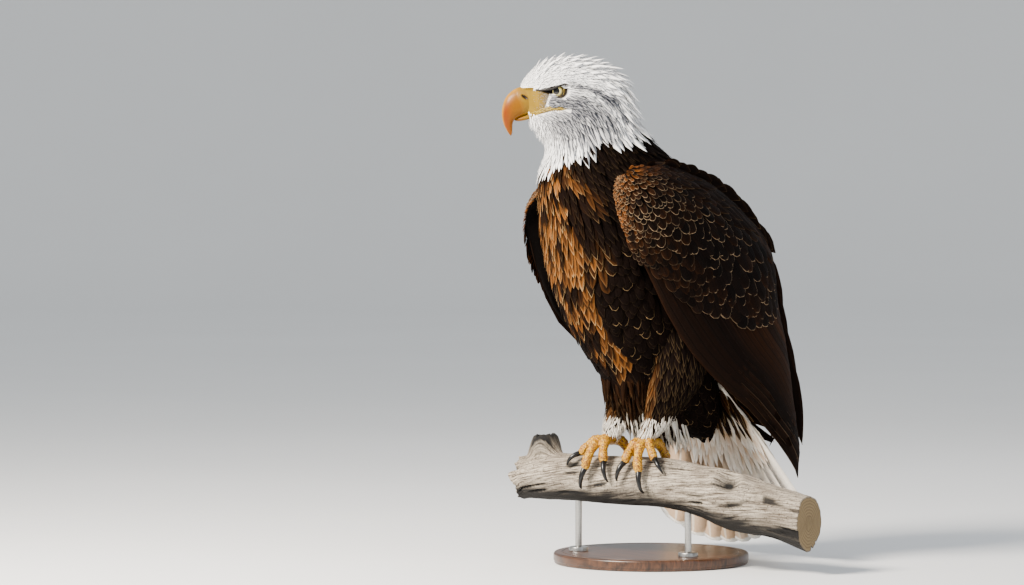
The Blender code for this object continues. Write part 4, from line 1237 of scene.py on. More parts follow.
def wood_height(station, angle):
    """The solid's flutes and knot, with weathered grain, cracks and the splintered stub; the darkness adds
    painted shade below.
    """
    twist = angle + SPIRAL * station
    flutes = 0.5 * np.sin(3 * twist + 0.6) + 0.3 * np.sin(5 * twist + 9.0 * station) - 0.8
    far = np.clip((np.abs(station) - 0.08) / 0.06, 0, 1)
    knot = np.hypot(station - KNOT_STATION, 0.045 * (angle - KNOT_ANGLE))
    wave = 0.0015 * np.sin(40 * station) - 0.012 * bump(knot, KNOT_RADIUS)
    wave = wave + 0.0035 * bump(knot - 1.5 * KNOT_RADIUS, 0.5 * KNOT_RADIUS)
    low, high = BRANCH_ENDS
    run = (station - low) / (high - low)
    lean = twist / (2 * math.pi) + 0.012 * np.sin(31 * station)
    grain = patchwork(run, lean, 16, 44, 3) + 0.6 * patchwork(run, lean, 40, 110, 4)
    cracks = smooth(patchwork(run, lean, 9, 44, 5), 0.7, 0.9)
    cracks = cracks * smooth(patchwork(run, lean, 30, 9, 6), 0.3, 0.5)
    near_feet = 0.35 + 0.65 * np.clip((np.abs(station) - 0.06) / 0.05, 0, 1)
    stub = np.hypot(station - STUB_STATION + 0.006, 0.04 * (angle + 0.16))
    jag = patchwork(run, angle / (2 * math.pi), 130, 60, 8)
    rise = (STUB_LENGTH + 0.004) * smooth(-stub, -0.034, -0.013) - 0.013 * jag * smooth(-stub, -0.018, -0.01)
    height = 0.0024 * flutes + far * wave + near_feet * (0.0016 * (grain - 0.8) - 0.0042 * cracks) + rise
    splinters = 1.2 * smooth(-stub, -0.034, -0.014) * (0.7 + 0.3 * jag)
    dark = 0.95 * cracks + 1.2 * bump(knot, KNOT_RADIUS * 0.8) + splinters
    # painted shade: the branch darkens towards its underside
    shade = smooth(-np.cos(angle - 0.35) + 0.35 * (grain - 0.8), -0.25, 0.45)
    return height, np.clip(dark + 0.98 * shade, 0, 1)


def branch():
    """The barkless branch: a broken end on the right and a sawn one with its rings on the left."""
    rows, sides = ((430, 150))
    first, last = BRANCH_ENDS
    uv = grid_of(np.linspace(first, last, rows), 2 * math.pi * np.arange(sides) / sides)
    station, angle = uv[..., 0], (uv[..., 1] + math.pi) % (2 * math.pi) - math.pi
    height, dark = wood_height(station, angle)
    halfway, turn = np.full_like(station, 0.5), uv[..., 1] / (2 * math.pi)
    jag = 0.7 * patchwork(halfway, turn, 3, 23, 12) + 0.3 * patchwork(halfway, turn, 3, 61, 13)
    broken = smooth(-(station - first), -0.035, 0.0)
    grid = on_branch(station, angle, height) + BRANCH_ALONG * (0.026 * jag * broken)[..., None]
    start, finish = (
        [branch_centre(centre) + (grid[end] - branch_centre(centre)) * share for share in CAP_SHARES]
        for end, centre in ((0, first + 0.012), (-1, last)))
    for number, share in enumerate(CAP_SHARES):
        rough = patchwork(np.full(sides, share), angle[0] / (2 * math.pi), 6, 29, 15) - 0.5
        start[number] = start[number] + BRANCH_ALONG * (0.012 * rough + 0.008 * (1 - share))[:, None]
    zeros, around = np.zeros((len(CAP_SHARES), sides)), np.full((rows, sides), BRANCH_RADIUS)
    caps = np.repeat(np.array(CAP_SHARES)[:, None] * BRANCH_RADIUS, sides, 1)
    marks = np.stack((np.concatenate((zeros + 0.25, dark, zeros)),
                      np.concatenate((zeros + 0.6, np.zeros((rows, sides)), zeros + 1.0)),
                      np.concatenate((caps[::-1], around, caps))), -1)
    lean = angle + SPIRAL * station
    grain = np.stack((station * 14.0, np.sin(lean) * 9.0, np.cos(lean) * 9.0), -1)
    grain = grain[np.clip(np.arange(-len(CAP_SHARES), rows + len(CAP_SHARES)), 0, rows - 1)]
    grid = np.concatenate((start[::-1], grid, finish))
    return solid("weathered_branch", grid, WEATHERED_WOOD, wood=marks, grain=grain)


# ---------------------------------------------------------------- the stand


def turned_rings(profile, sides, centre=(0.0, 0.0)):
    """Rings turned from radius and height pairs, top to bottom."""
    radius, height = np.array(profile).T
    turn = 2 * math.pi * np.arange(sides) / sides
    return np.stack((centre[0] + radius[:, None] * np.cos(turn), centre[1] + radius[:, None] * np.sin(turn),
                     np.broadcast_to(height[:, None], (len(radius), sides))), -1)


def turned_piece(name, rings, material):
    """A piece turned on a lathe, sharp at its corners."""
    made = solid(name, rings, material)
    made.data.set_sharp_from_angle(angle=math.radians(28))
    return made


def turned_base():
    """A turned disc with a rounded lip, a fine groove and a flat foot."""
    _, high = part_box("stand_base")
    edge, top = high.x, high.z
    lip = [(edge - 0.004 + 0.004 * math.sin(a), top - 0.004 + 0.004 * math.cos(a))
           for a in np.linspace(0, math.pi / 2, 8)]
    groove = [(edge - 0.016, top), (edge - 0.0152, top - 0.0012), (edge - 0.014, top - 0.0012),
              (edge - 0.0132, top)]
    foot_edge = [(edge, 0.0052), (edge - 0.0012, 0.004), (edge - 0.0012, 0.0015), (edge - 0.0022, 0.0)]
    profile = [(0.02, top), (0.08, top), *groove, *lip, *foot_edge, (0.05, 0.0)]
    return turned_piece("turned_base", turned_rings(profile, 160), OILED_WALNUT)


def rod(number):
    """A brushed rod with its collar, let into the branch."""
    low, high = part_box(f"stand_rod_{number}")
    centre = ((low.x + high.x) / 2, (low.y + high.y) / 2)
    collar, thin, rise = (high.x - low.x) / 2, 0.0055, low.z + 0.007
    profile = [(0.002, high.z + 0.004), (thin, high.z + 0.004), (thin, rise + 0.0012), (thin + 0.0012, rise),
               (collar - 0.0022, rise), (collar - 0.0006, rise - 0.0008), (collar, rise - 0.0024),
               (collar, low.z), (0.004, low.z)]
    return turned_piece(f"steel_rod_{number}", turned_rings(profile, 64, centre), BRUSHED_STEEL)


# ---------------------------------------------------------------- the coat's tracts

COVER = 0.03  # how far a wing reaches past what it hides


def wing_trees():
    """The two wings' solids as trees, for leaving out what they hide."""
    meshes = [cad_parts[name].data for name in ("wing_left", "wing_right")]
    return [BVHTree.FromPolygons([v.co[:] for v in mesh.vertices], [p.vertices[:] for p in mesh.polygons])
            for mesh in meshes]


def hidden_by_wing(points, trees):
    """True for points that a wing covers all round, as seen from its side."""
    hidden = np.zeros(len(points), bool)
    for tree, side in zip(trees, (1, -1)):
        for index, (x, y, z) in enumerate(points):
            if side * x >= COVER:
                hidden[index] = all(
                    tree.ray_cast(Vector((x, y + back, z + up)), Vector((side, 0, 0)))[0] is not None
                    for back, up in ((0, 0), (COVER, 0), (-COVER, 0), (0, COVER), (0, -COVER * 1.6)))
    return hidden


def face_streaks_and_shade(points, random):
    """How grey each feather on the head's side is: streaks by the eye and nape, painted shade at ear, cheek
    and throat.
    """
    side, ahead, above = head_place(points)
    # grey streaks: behind and below the eye, on the nape and at the eye's rear corner
    behind = 1.5 * bump(ahead + 58, 23) * bump(above - 5 - 0.22 * (ahead + 39), 3.0)
    below = 1.0 * bump(ahead + 74, 12) * bump(above + 9 - 0.3 * (ahead + 74), 2.3)
    nape = 1.2 * bump(ahead + 98, 11) * bump(above + 24 - 0.55 * (ahead + 98), 3.0)
    corner = 0.9 * bump(ahead + 24, 8) * bump(above - 7, 3.0)
    # painted shade, where the head shades itself: the ear, the cheek, under the eye and the throat
    ear = 0.75 * bump(ahead + 78, 10) * bump(above + 39, 8.0)
    cheek = 0.62 * bump(np.hypot((ahead + 24) / 46, (above + 40) / 26), 1.0)
    under_eye = 0.9 * bump(np.hypot((ahead + 10) / 32, (above + 20) / 9), 1.0)
    throat = 0.35 * bump(ahead + 2, 12) * bump(above + 62, 10)
    streak = 0.25 + 0.9 * random.random(len(points))
    grey_and_shade = (behind + below + nape + corner + ear + cheek + under_eye + throat) * streak
    return (1.0 - np.exp(-7.0 * grey_and_shade)) * (np.abs(side) > 12)  # white swallows a weak tint


def head_coat():
    """Short white feathers of the face and crown."""
    random, coat = np.random.default_rng(21), Coat()
    roots = scatter(BODY, (0.06, -math.pi), (4.7, math.pi), graded((0, 2, 4.6), (1.8, 2.4, 3.3)), 22)
    points, _, slope, _ = BODY.frame(roots)
    keep = ~bare_face(points)
    roots, points, slope = roots[keep], points[keep], slope[keep]
    place, number = roots[:, 0], len(roots)
    length = np.interp(place, (0, 1, 2, 3, 4, 4.7), (5.0, 7.0, 10.0, 14.0, 18.0, 21.0)) * MM
    width = np.interp(place, (0, 2, 4.7), (2.1, 3.6, 5.6)) * MM
    depth, grey_and_shade = coat_depth(place), face_streaks_and_shade(points, random)
    lay(coat, BODY, roots, spread_lengths(random, number, length), width, pointed, random, rows=6, **FINE,
        lift=(-0.95 * depth, (0.2 + 0.8 * random.random(number) ** 2) * MM), heading=slope, sweep=0.002,
        crown=0.07, ragged=0.12, warm=grey_and_shade, pale=0.3 * (1 - grey_and_shade))
    return coat


def crest_coat():
    """Ruffled tufts that stand off the crown and the nape, and the beard under the bill."""
    random, coat, stations = np.random.default_rng(25), Coat(), (1.4, 3.0, 4.5, 6.8)
    for spacing, stout, stand, seed in ((4.3, 1.0, 0.3, 26), (10.0, 2.1, 1.0, 28)):
        roots = scatter(BODY, (1.4, -1.25), (6.9, 1.25), even(spacing), seed)
        place, number = roots[:, 0], len(roots)
        tuft = patchwork(place / 7.0, roots[:, 1] / (2 * math.pi) + 0.5, 20, 26, 29)
        ruffle = stand * np.clip(0.35 + 0.5 * tuft + 0.5 * random.random(number), 0, 1.2)
        ruffle = ruffle * smooth(np.cos(roots[:, 1]), 0.5, 0.95)
        length = np.interp(place, stations, (10.0, 16.0, 23.0, 34.0)) * MM * (0.8 + 0.5 * ruffle)
        width = stout * np.interp(place, stations, (3.4, 4.6, 5.6, 7.0)) * MM
        rise = np.interp(place, stations, (5.0, 7.5, 13.0, 11.0)) * ruffle
        grey_and_shade = face_streaks_and_shade(BODY.surface(roots), random)
        lay(coat, BODY, roots, length, width, pointed, random, **FINE, sweep=0.1, crown=0.1, ragged=0.08,
            lift=(-0.85 * coat_depth(place), (0.5 + rise) * MM), warm=grey_and_shade, pale=0.4 * (1 - grey_and_shade))
    roots = scatter(BODY, (0.5, 2.2), (2.5, 2 * math.pi - 2.2), even(3.6), 27)
    number, under = len(roots), smooth(-np.cos(roots[:, 1]), 0.55, 0.95)
    length = spread_lengths(random, number, 12 * MM, 0.2) * (0.6 + 0.5 * under)
    lay(coat, BODY, roots, length, 4.2 * MM, pointed, random, **FINE, droop=1.3, sweep=0.26, crown=0.14,
        lift=(-0.9 * coat_depth(roots[:, 0]), (0.5 + 7.0 * under * random.random(number)) * MM), ragged=0.1,
        pale=0.4)
    return coat


def bristles():
    """Fine hair-like feathers over the lore and round the eye."""
    random, coat = np.random.default_rng(31), Coat()
    roots = scatter(BODY, (0.1, -math.pi), (3.6, math.pi), even(1.5), 32)
    points = BODY.surface(roots)
    _, ahead, above = head_place(points)
    in_lore = bare_face(points) & (ahead < 40) & (ahead > -14) & (eye_opening(ahead, above) > 1.25)
    in_lore &= (above > gape_top(ahead) + 1.0) & (brow_shade(ahead - 2, above) < 0.5)
    in_lore &= random.random(len(roots)) < 0.15 + 0.85 * smooth(-ahead, -38, -20)
    roots, ahead = roots[in_lore], ahead[in_lore]
    number, depth = len(roots), coat_depth(roots[:, 0])
    length = spread_lengths(random, number, np.interp(ahead, (5, 40), (7.0, 3.6)) * MM)
    lay(coat, BODY, roots, length, 0.55 * MM, pointed, random, rows=5, columns=SMALL, thickness=0.0002,
        droop=0.3, lift=(-depth, 1.0 * MM - 0.7 * depth), sweep=0.16,
        warm=1.0 - 0.3 * random.random(number) ** 3)
    return coat


def hackle_coat():
    """Long pointed white hackles of the neck, ending in ragged spikes over the brown."""
    random, coat = np.random.default_rng(41), Coat()
    roots = scatter(BODY, (4.2, -math.pi), (8.1, math.pi), graded((4.2, 6, 8), (3.4, 5.2, 7.0)), 42)
    limit = white_limit(roots[:, 1]) + 0.14 * random.standard_normal(len(roots))
    roots = roots[roots[:, 0] < limit - 0.1]
    angle = np.arange(-math.pi, math.pi, 0.17)
    for back in (0.0, 0.32):
        ring = angle + 0.085 * (back > 0) + 0.03 * random.standard_normal(len(angle))
        edge = white_limit(ring) - back + 0.1 * random.standard_normal(len(ring))
        roots = np.concatenate((roots, np.stack((edge, ring), -1)))
    place, number = roots[:, 0], len(roots)
    last = np.arange(number) >= number - 2 * len(angle)
    length = np.interp(place, (4.2, 5, 6, 7, 8), (18, 25, 35, 42, 44)) * MM
    width = np.interp(place, (4.2, 6, 7, 8), (5.2, 8.2, 11.5, 12.5)) * MM * np.where(last, 1.5, 1.0)
    nape = smooth(np.cos(roots[:, 1]), 0.2, 0.95)
    ruffle = random.random(number) ** 2.2
    grey_and_shade = face_streaks_and_shade(BODY.surface(roots), random)
    lay(coat, BODY, roots, spread_lengths(random, number, length, 0.15), width, pointed, random, rows=8,
        columns=SMALL, thickness=0.0004, droop=0.25 * smooth(-np.cos(roots[:, 1]), -0.2, 0.8), sweep=0.07,
        lift=(-0.9 * coat_depth(place), (0.6 + 2.4 * ruffle + 5.0 * nape * ruffle) * MM), crown=0.1,
        ragged=0.06, warm=grey_and_shade, pale=0.4 * (1 - grey_and_shade))
    return coat


def body_coat(trees):
    """Brown contour feathers of neck and body, black-brown on the back; gold at the breast is painted
    sunlight.
    """
    random, stations = np.random.default_rng(51), (5.4, 7, 9, 11, 14, 17, 19)
    gap = graded(stations, (5.2, 6.4, 8.0, 9.4, 10.4, 9.6, 8.6))
    roots = scatter(BODY, (5.4, -math.pi), (17.9, math.pi), gap, 52)
    roots = roots[roots[:, 0] > white_limit(roots[:, 1]) - 0.35]
    points, _, slope, _ = BODY.frame(roots)
    keep = ~hidden_by_wing(points, trees)
    roots, slope = roots[keep], slope[keep]
    place, angle, number = roots[:, 0], roots[:, 1], len(roots)
    keel = np.interp(place, (12.3, 12.9, 13.5, 14.1, 14.8), (-0.05, -0.14, -0.28, -0.42, -0.62))
    off_keel = (angle % (2 * math.pi)) - math.pi - keel
    spread = np.interp(place, (6, 9, 10.8, 12.4, 13.5, 15), (0.84, 0.8, 0.6, 0.37, 0.2, 0.15))
    spread = spread * np.where(off_keel > 0, np.interp(place, (12, 13), (1.0, 1.7)), 1.0)
    front = smooth(bump(off_keel, spread), 0.12, 0.65)
    back = smooth(np.cos(angle), -0.1, 0.6)
    length = np.interp(place, stations, (30, 38, 44, 47, 50, 50, 46)) * MM * (1 + 0.15 * back)
    width = np.interp(place, stations, (7.5, 9.5, 13, 17, 19, 16, 13)) * MM
    patch = smooth(patchwork(place / LAST_STATION, angle / (2 * math.pi) + 0.5, 26, 52, 53), 0.34, 0.64)
    # painted sunlight: the breast's front turns gold, fading out below station 14
    painted_sun = np.interp(place, (6, 14, 15), (1.2, 1.1, 0.0))
    warm = np.clip(front * painted_sun * (0.04 + 1.15 * patch) * (0.05 + 1.1 * random.random(number)), 0, 1)
    rare = (random.random(number) < 0.16) * (0.35 + 0.4 * random.random(number))
    rare = rare * (1 - back) * smooth(place, 10, 11)
    pale = np.clip(0.03 + 0.6 * front * painted_sun * patch * random.random(number) + rare, 0, 0.9)
    ruffle = random.random(number) ** 2.5
    low, high = -0.92 * coat_depth(place), (0.1 + 2.0 * ruffle) * MM
    heading = unit(slope) + 0.3 * front[:, None] * DOWN
    golden, upper = front * painted_sun > 0.2, place < 10.4
    width = width * np.where(golden, 0.85, 1.0)
    coats = Coat(), Coat()
    for coat, zone, shape in ((coats[0], upper, pointed), (coats[1], ~upper & golden, blunt),
                              (coats[1], ~upper & ~golden, rounded)):
        lay(coat, BODY, roots[zone], spread_lengths(random, zone.sum(), length[zone]), width[zone], shape,
            random, rows=8, heading=heading[zone], lift=(low[zone], high[zone]), sweep=0.1, crown=0.18,
            ragged=0.08, warm=warm[zone], pale=pale[zone])
    return coats


def covert_limit(across):
    """How far along the wing the coverts' tips reach."""
    return np.interp(across, (0, 0.12, 0.2, 0.33, 0.48, 0.7, 1.0), (0.18, 0.31, 0.39, 0.47, 0.54, 0.59, 0.55))


def covert_gap(uv):
    """The distance between coverts: small at the wrist and the leading edge, larger down the wing."""
    share, across = uv[..., 0], uv[..., 1]
    size = np.interp(share, (0, 0.04, 0.1, 0.2, 0.32, 0.5), (3.3, 5.5, 11.0, 16.0, 20.5, 23.0))
    return size * np.interp(across, (0, 0.05, 0.15, 0.3, 0.85, 1.0), (0.3, 0.4, 0.72, 1.0, 1.0, 0.8)) * MM


SMALLEST_TILE = 0.0075  # coverts nearer together than this lie loosely, larger ones in rows


def covert_tiles(random):
    """Roots in staggered rows across the wing, a little out of line."""
    roots, share, odd = [], 0.02, 0
    while share < 0.56:
        low, high = at_share(WING_STATIONS, np.array(share))[:2]
        across = 0.02 + 0.5 * odd * float(covert_gap(np.array((share, 0.5)))) / float(high - low)
        while across < 1.0:
            gap = float(covert_gap(np.array((share, across))))
            stray = 0.14 * gap * random.standard_normal(2)
            roots.append((share + stray[0] / WING_RUN, across + stray[1] / float(high - low)))
            across += gap / float(high - low)
        share += 0.8 * float(covert_gap(np.array((share, 0.5)))) / WING_RUN
        odd = 1 - odd
    roots = np.clip(np.array(roots), (0.0, 0.0), (0.6, 1.0))
    return roots[covert_gap(roots) >= SMALLEST_TILE]


def covert_coat(side):
    """Scale-like coverts: tiny and tawny on the leading edge, then larger, black-brown with pale rims."""
    random, coat, ground = np.random.default_rng(61 + side), Coat(), WINGS[side]
    loose = scatter(ground, (0.002, 0.0), (0.5, 1.0), covert_gap, 62 + side)
    roots = np.concatenate((loose[covert_gap(loose) < SMALLEST_TILE], covert_tiles(random)))
    gap = covert_gap(roots)
    length = 2.7 * gap + 1.5 * MM
    keep = roots[:, 0] + 0.8 * length / WING_RUN < covert_limit(roots[:, 1])
    roots, gap, length = roots[keep], gap[keep], length[keep]
    share, across, number = roots[:, 0], roots[:, 1], len(roots)
    tawny_end = -0.17 if side > 0 else -0.45
    front = np.maximum(bump(across, 0.09) * smooth(-share, tawny_end, -0.08), 0.85 * bump(share, 0.028))
    warm = np.clip(1.2 * front * random.random(number) ** 1.5, 0, 1) + 0.14 * random.random(number) ** 2
    shadow = smooth(share, 0.1, 0.2) * (1 - smooth(across, 0.16, 0.42))
    pale = np.clip(0.25 + 0.85 * random.random(number), 0, 1) * (1 - 0.9 * shadow)
    pale = pale * (1 - 0.9 * smooth(across, 0.7, 0.88)) * np.interp(gap, (3 * MM, 9 * MM), (0.35, 1.0))
    lay(coat, ground, roots, spread_lengths(random, number, length, 0.1), 1.36 * gap + 0.8 * MM, rounded,
        random, rows=8, droop=0.5 * smooth(across, 0.03, 0.25), sweep=0.1, crown=0.17, ragged=0.035,
        lift=(-3.6 * MM, (0.1 + 1.6 * random.random(number) ** 2) * MM), warm=warm, pale=pale)
    return coat


# how far each row of greater coverts lies behind the first one's limit, its feathers' length and width
GREATER_ROWS = (0.0, 0.062, 0.026), (-0.03, 0.052, 0.024), (-0.058, 0.046, 0.022)


def greater_coat(side):
    """The last row of large coverts and the tertials' bases, with wide pale rims."""
    random, coat, ground = np.random.default_rng(71 + side), Coat(), WINGS[side]
    for step, (back, length, width) in enumerate(GREATER_ROWS):
        across = np.arange(0.03, 0.99, 0.052 if step else 0.058) + 0.004 * random.standard_normal(1)
        across = across + 0.008 * random.standard_normal(len(across))
        size, number = np.interp(across, (0, 0.15, 0.4), (0.55, 0.8, 1.0)), len(across)
        share = covert_limit(across) + back - length / WING_RUN * 0.95
        share = share + 0.008 * random.standard_normal(number)
        lay(coat, ground, np.stack((np.maximum(share, 0.02), across), -1),
            spread_lengths(random, number, length * size, 0.05), width * size, rounded, random, rows=10,
            droop=0.18, lift=(-3.4 * MM, (0.1 + 0.5 * step + 0.6 * random.random(number)) * MM), sweep=0.03,
            crown=0.13, thickness=0.0006, ragged=0.02, warm=0.1 * random.random(number),
            pale=(0.5 + 0.5 * random.random(number)) * (0.1 + 0.9 * smooth(across, 0.16, 0.42)))
    return coat


FLIGHT_LANES = 21
# each lane's place across the wing, from the lower edge, and the share at which its feather ends
LANE_TIPS = ((0.0, 1.0), (0.1, 0.985), (0.22, 0.955), (0.32, 0.935), (0.42, 0.9), (0.52, 0.857),
             (0.62, 0.8), (0.74, 0.71), (0.86, 0.63), (1.0, 0.534))
# where a loose rear feather leaves the wing, the share its tip reaches and how far behind the edge, mm
RAGGED_TIPS = ((0.62, 0.873, 16.0), (0.7, 0.944, 11.0), (0.42, 0.58, 14.0), (0.5, 0.7, 8.0),
               (0.56, 0.79, 9.0))


def flight_coat(side):
    """Primaries, secondaries and tertials: long dark vanes, the upper ones over the lower. The lanes still
    running at a share of the wing are spread evenly from edge to edge, so each ends at the upper edge."""
    random, coat, ground, rows = np.random.default_rng(81 + side), Coat(), WINGS[side], 18
    tip_lanes, tips = zip(*LANE_TIPS)
    stops = 1.0 - (1.0 - np.linspace(0, 1, rows)) ** 1.5
    for index in range(FLIGHT_LANES):
        lane = (index + 0.5) / FLIGHT_LANES
        pair = (index // 2 * 2 + 1) / FLIGHT_LANES
        tip = float(np.interp(0.75 * pair + 0.25 * lane, tip_lanes, tips))
        start = float(np.interp(lane, (0, 0.1, 0.4, 1.0), (0.1, 0.17, 0.26, 0.24)))
        width = float(np.interp(lane, (0, 0.3, 0.7, 1.0), (0.026, 0.031, 0.036, 0.038)))
        aft = smooth(lane, 0.2, 0.7)
        share = start + (tip - start) * stops
        running = np.interp(share, tips[::-1], tip_lanes[::-1])
        low, high = at_share(WING_STATIONS, np.minimum(share, 0.97))[:2]
        room = high - low
        step = (0.011 if index % 2 else 0.004) / room * smooth(stops, 0.7, 1.0)
        across = 0.03 + 0.93 * np.minimum(lane / running, 1.0) + step
        inside = 1.0 - 0.35 * width / room * (1 - smooth(stops, 0.55, 1.0)) * (lane > 0.3)
        uv = np.stack((share, np.minimum(across, inside)), -1)
        points, normals, _, _ = ground.frame(uv)
        under = -5.6 * (1 - lane) * np.interp(share, (0.5, 1.0), (1.0, 0.6)) - 2.2 * (1 - stops) ** 2
        shafts = points + normals * ((under + 0.06 * random.random()) * MM)[:, None]
        half = 0.5 * width * long_vane(stops) * np.interp(share, (0.6, 1.0), (1.0, 0.72))
        halves = half[None, :, None] * np.array((0.8, 1.2))[None, None, :: side] * (
            1 + 0.012 * random.standard_normal((1, rows, 2)))
        tone, warm = random.random(1), 0.02 + 0.1 * aft + (0.1 + 0.42 * aft) * random.random(1)
        pale = 0.06 + (0.14 + 0.4 * aft) * random.random(1) if index else np.array((0.35,))
        coat.add(shafts[None], normals[None], halves, stops, LONG, 0.07, 0.0007, tone, warm, pale,
                 ground.chart(uv[:1]))
    behind, outward = np.array((0.57 * side, 0.82, 0.0)), np.array((0.82 * side, -0.57, 0.0))
    for root_share, tip_share, reach in RAGGED_TIPS:
        root, end = ground.surface(np.array(((root_share, 0.92), (tip_share, 1.0))))
        run = end + behind * reach * MM - root
        shaft = root + run * stops[:, None] - outward * 2.0 * MM * (1 - stops[:, None])
        half = np.broadcast_to(0.5 * 0.026 * np.maximum(blunt(stops), 0.04)[:, None], (rows, 2))
        coat.add(shaft[None], np.broadcast_to(outward, (1, rows, 3)), half[None], stops, PLAIN, 0.07, 0.0007,
                 random.random(1), 0.05, 0.15, ground.chart(np.array(((root_share, 1.0),))))
    return coat


def scapular_coat(side):
    """Large dark shoulder feathers lying from the back over the upper edge of the wing."""
    random, coat, ground = np.random.default_rng(91 + side), Coat(), WINGS[side]
    rows = []
    for row, level in enumerate((1.04, 0.99, 0.94, 0.885, 0.83, 0.775)):
        share = np.arange(0.055 + 0.012 * (row % 3), 0.45 - 0.035 * row, 0.03)
        share = share + 0.005 * random.standard_normal(len(share))
        rows.append(np.stack((share, level + 0.012 * random.standard_normal(len(share))), -1))
    roots = np.concatenate(rows)
    number, slope = len(roots), ground.frame(np.minimum(roots, (1, 0.97)))[2]
    length = np.interp(roots[:, 0], (0, 0.1, 0.3, 0.5), (0.03, 0.048, 0.07, 0.078))
    lay(coat, ground, np.minimum(roots, (1, 1.03)), spread_lengths(random, number, length, 0.08),
        0.34 * length, blunt, random, rows=9, heading=unit(slope), sweep=0.05, crown=0.14, thickness=0.0006,
        ragged=0.03, lift=(-2.0 * MM, (1.2 + 2.0 * random.random(number)) * MM), warm=0.04,
        pale=0.02 + 0.14 * random.random(number))
    return coat


def trouser_coat(side):
    """Loose pointed feathers hanging over the thigh, painted sunlit tawny in front, with white tufts at the
    bare leg.
    """
    random, ground = np.random.default_rng(101 + side), THIGHS[side]
    brown, white = Coat(), Coat()
    gap = graded((0, 4, 5.3), (8.2, 7.4, 5.6))
    roots = scatter(ground, (0.0, -math.pi), (4.75, math.pi), gap, 102 + side)
    number, normals = len(roots), ground.frame(roots)[1]
    front = smooth(-0.9 * normals[:, 1] - side * 0.25 * normals[:, 0], 0.74, 1.0)
    # painted sunlight: tawny on the thigh's front
    sunlit_tawny = front * (0.35 + 0.65 * random.random(number))
    length = spread_lengths(random, number, 42 * MM, 0.14)
    high = (-0.8 + 2.6 * random.random(number) ** 2) * MM
    warm = np.clip(0.8 * sunlit_tawny * (0.3 + 0.7 * random.random(number)), 0, 1)
    lay(brown, ground, roots, length, 10.5 * MM, pointed, random, rows=8, droop=0.5, lift=(-6.5 * MM, high),
        sweep=0.11, ragged=0.1, warm=warm, pale=0.08 + 0.3 * front * random.random(number))
    roots = scatter(ground, (4.8, -math.pi), (5.98, math.pi), even(2.5), 104 + side)
    number = len(roots)
    warm = 0.25 * smooth(-roots[:, 0], -5.2, -4.5) + 0.04 * random.random(number)
    lay(white, ground, roots, spread_lengths(random, number, 19 * MM, 0.2), 2.6 * MM, pointed, random, **FINE,
        droop=1.2, lift=(-4.0 * MM, (-0.5 + 3.5 * random.random(number)) * MM), sweep=0.13, crown=0.1,
        ragged=0.12, warm=warm, pale=0.3)
    return brown, white


def hanging_fluff():
    """Loose feathers that hang from the belly between the legs: black-brown before, white behind."""
    random, coats, rows = np.random.default_rng(131), [], 8
    stops, face = np.linspace(0, 1, rows), np.array((0.5, -0.85, 0.0))
    for low, high, length, width, gap, seed in ((15.0, 17.0, 44.0, 9.0, 5.2, 132),
                                                (15.8, 17.4, 46.0, 5.0, 3.6, 133)):
        roots = scatter(BODY, (low, math.pi - 0.75), (high, math.pi + 0.75), even(gap), seed)
        points, normals, slope, _ = BODY.frame(roots)
        number = len(roots)
        fall = unit(DOWN + 0.35 * unit(slope) + 0.12 * random.standard_normal((number, 3)))
        reach = spread_lengths(random, number, length * MM, 0.18)
        shafts = (points - normals * 6 * MM)[:, None] + fall[:, None] * (reach[:, None] * stops)[..., None]
        faces = unit(face + 0.4 * random.standard_normal((number, 3)))
        half = 0.5 * width * MM * np.maximum(pointed(stops), 0.05)
        halves = half[None, :, None] * (1 + 0.1 * random.standard_normal((number, rows, 2)))
        tone, warm, pale = random.random(number), 0.1 * random.random(number), 0.1 * random.random(number)
        coats.append(Coat())
        coats[-1].add(shafts, np.broadcast_to(faces[:, None], shafts.shape), halves, stops, SMALL, 0.15,
                      0.0004, tone, warm, pale, BODY.chart(roots))
    return coats


def tail_coat():
    """Twelve white tail feathers, the middle pair uppermost."""
    random, coat, rows = np.random.default_rng(111), Coat(), 18
    step = (TAIL_SPREAD[1] - TAIL_SPREAD[0]) / TAIL_FEATHERS
    stops = 1.0 - (1.0 - np.linspace(0, 1, rows)) ** 1.6
    tip = np.sqrt(np.clip(1.0 - (np.maximum(stops - 0.88, 0) / 0.12) ** 2.0, 0.006, 1))
    for index in range(TAIL_FEATHERS):
        turn = TAIL_SPREAD[0] + (index + 0.5) * step
        inner = 1.0 - abs(index - 5.5) / 5.5
        end = TAIL_LENGTH * (1.03 - 0.12 * smooth(turn, -0.4, 0.4) + 0.03 * random.random())
        reach = 0.09 + (end - 0.09) * stops
        uv = np.stack((np.full(rows, turn), reach), -1)
        points, normals, _, _ = TAIL_BACK.frame(uv)
        lift = (-2.2 + 4.4 * inner) * MM * (1.15 - 0.75 * stops)
        broad = 0.98 + 0.16 * smooth(-turn, -0.1, 0.3) - 0.22 * smooth(turn, 0.0, 0.45)
        half = broad * reach * step * tip + 0.001
        halves = half[None, :, None] * (1 + 0.015 * random.standard_normal((1, rows, 2)))
        # painted golden shading on the feathers towards the fan's negative turn
        tone, golden = random.random(1), 0.1 + 0.6 * smooth(-turn, -0.1, 0.25) + 0.1 * random.random(1)
        shafts = points + normals * lift[:, None]
        coat.add(shafts[None], normals[None], halves, stops, LONG, 0.02, 0.0007, tone, golden, 0.95,
                 TAIL_BACK.chart(uv[:1]))
    return coat


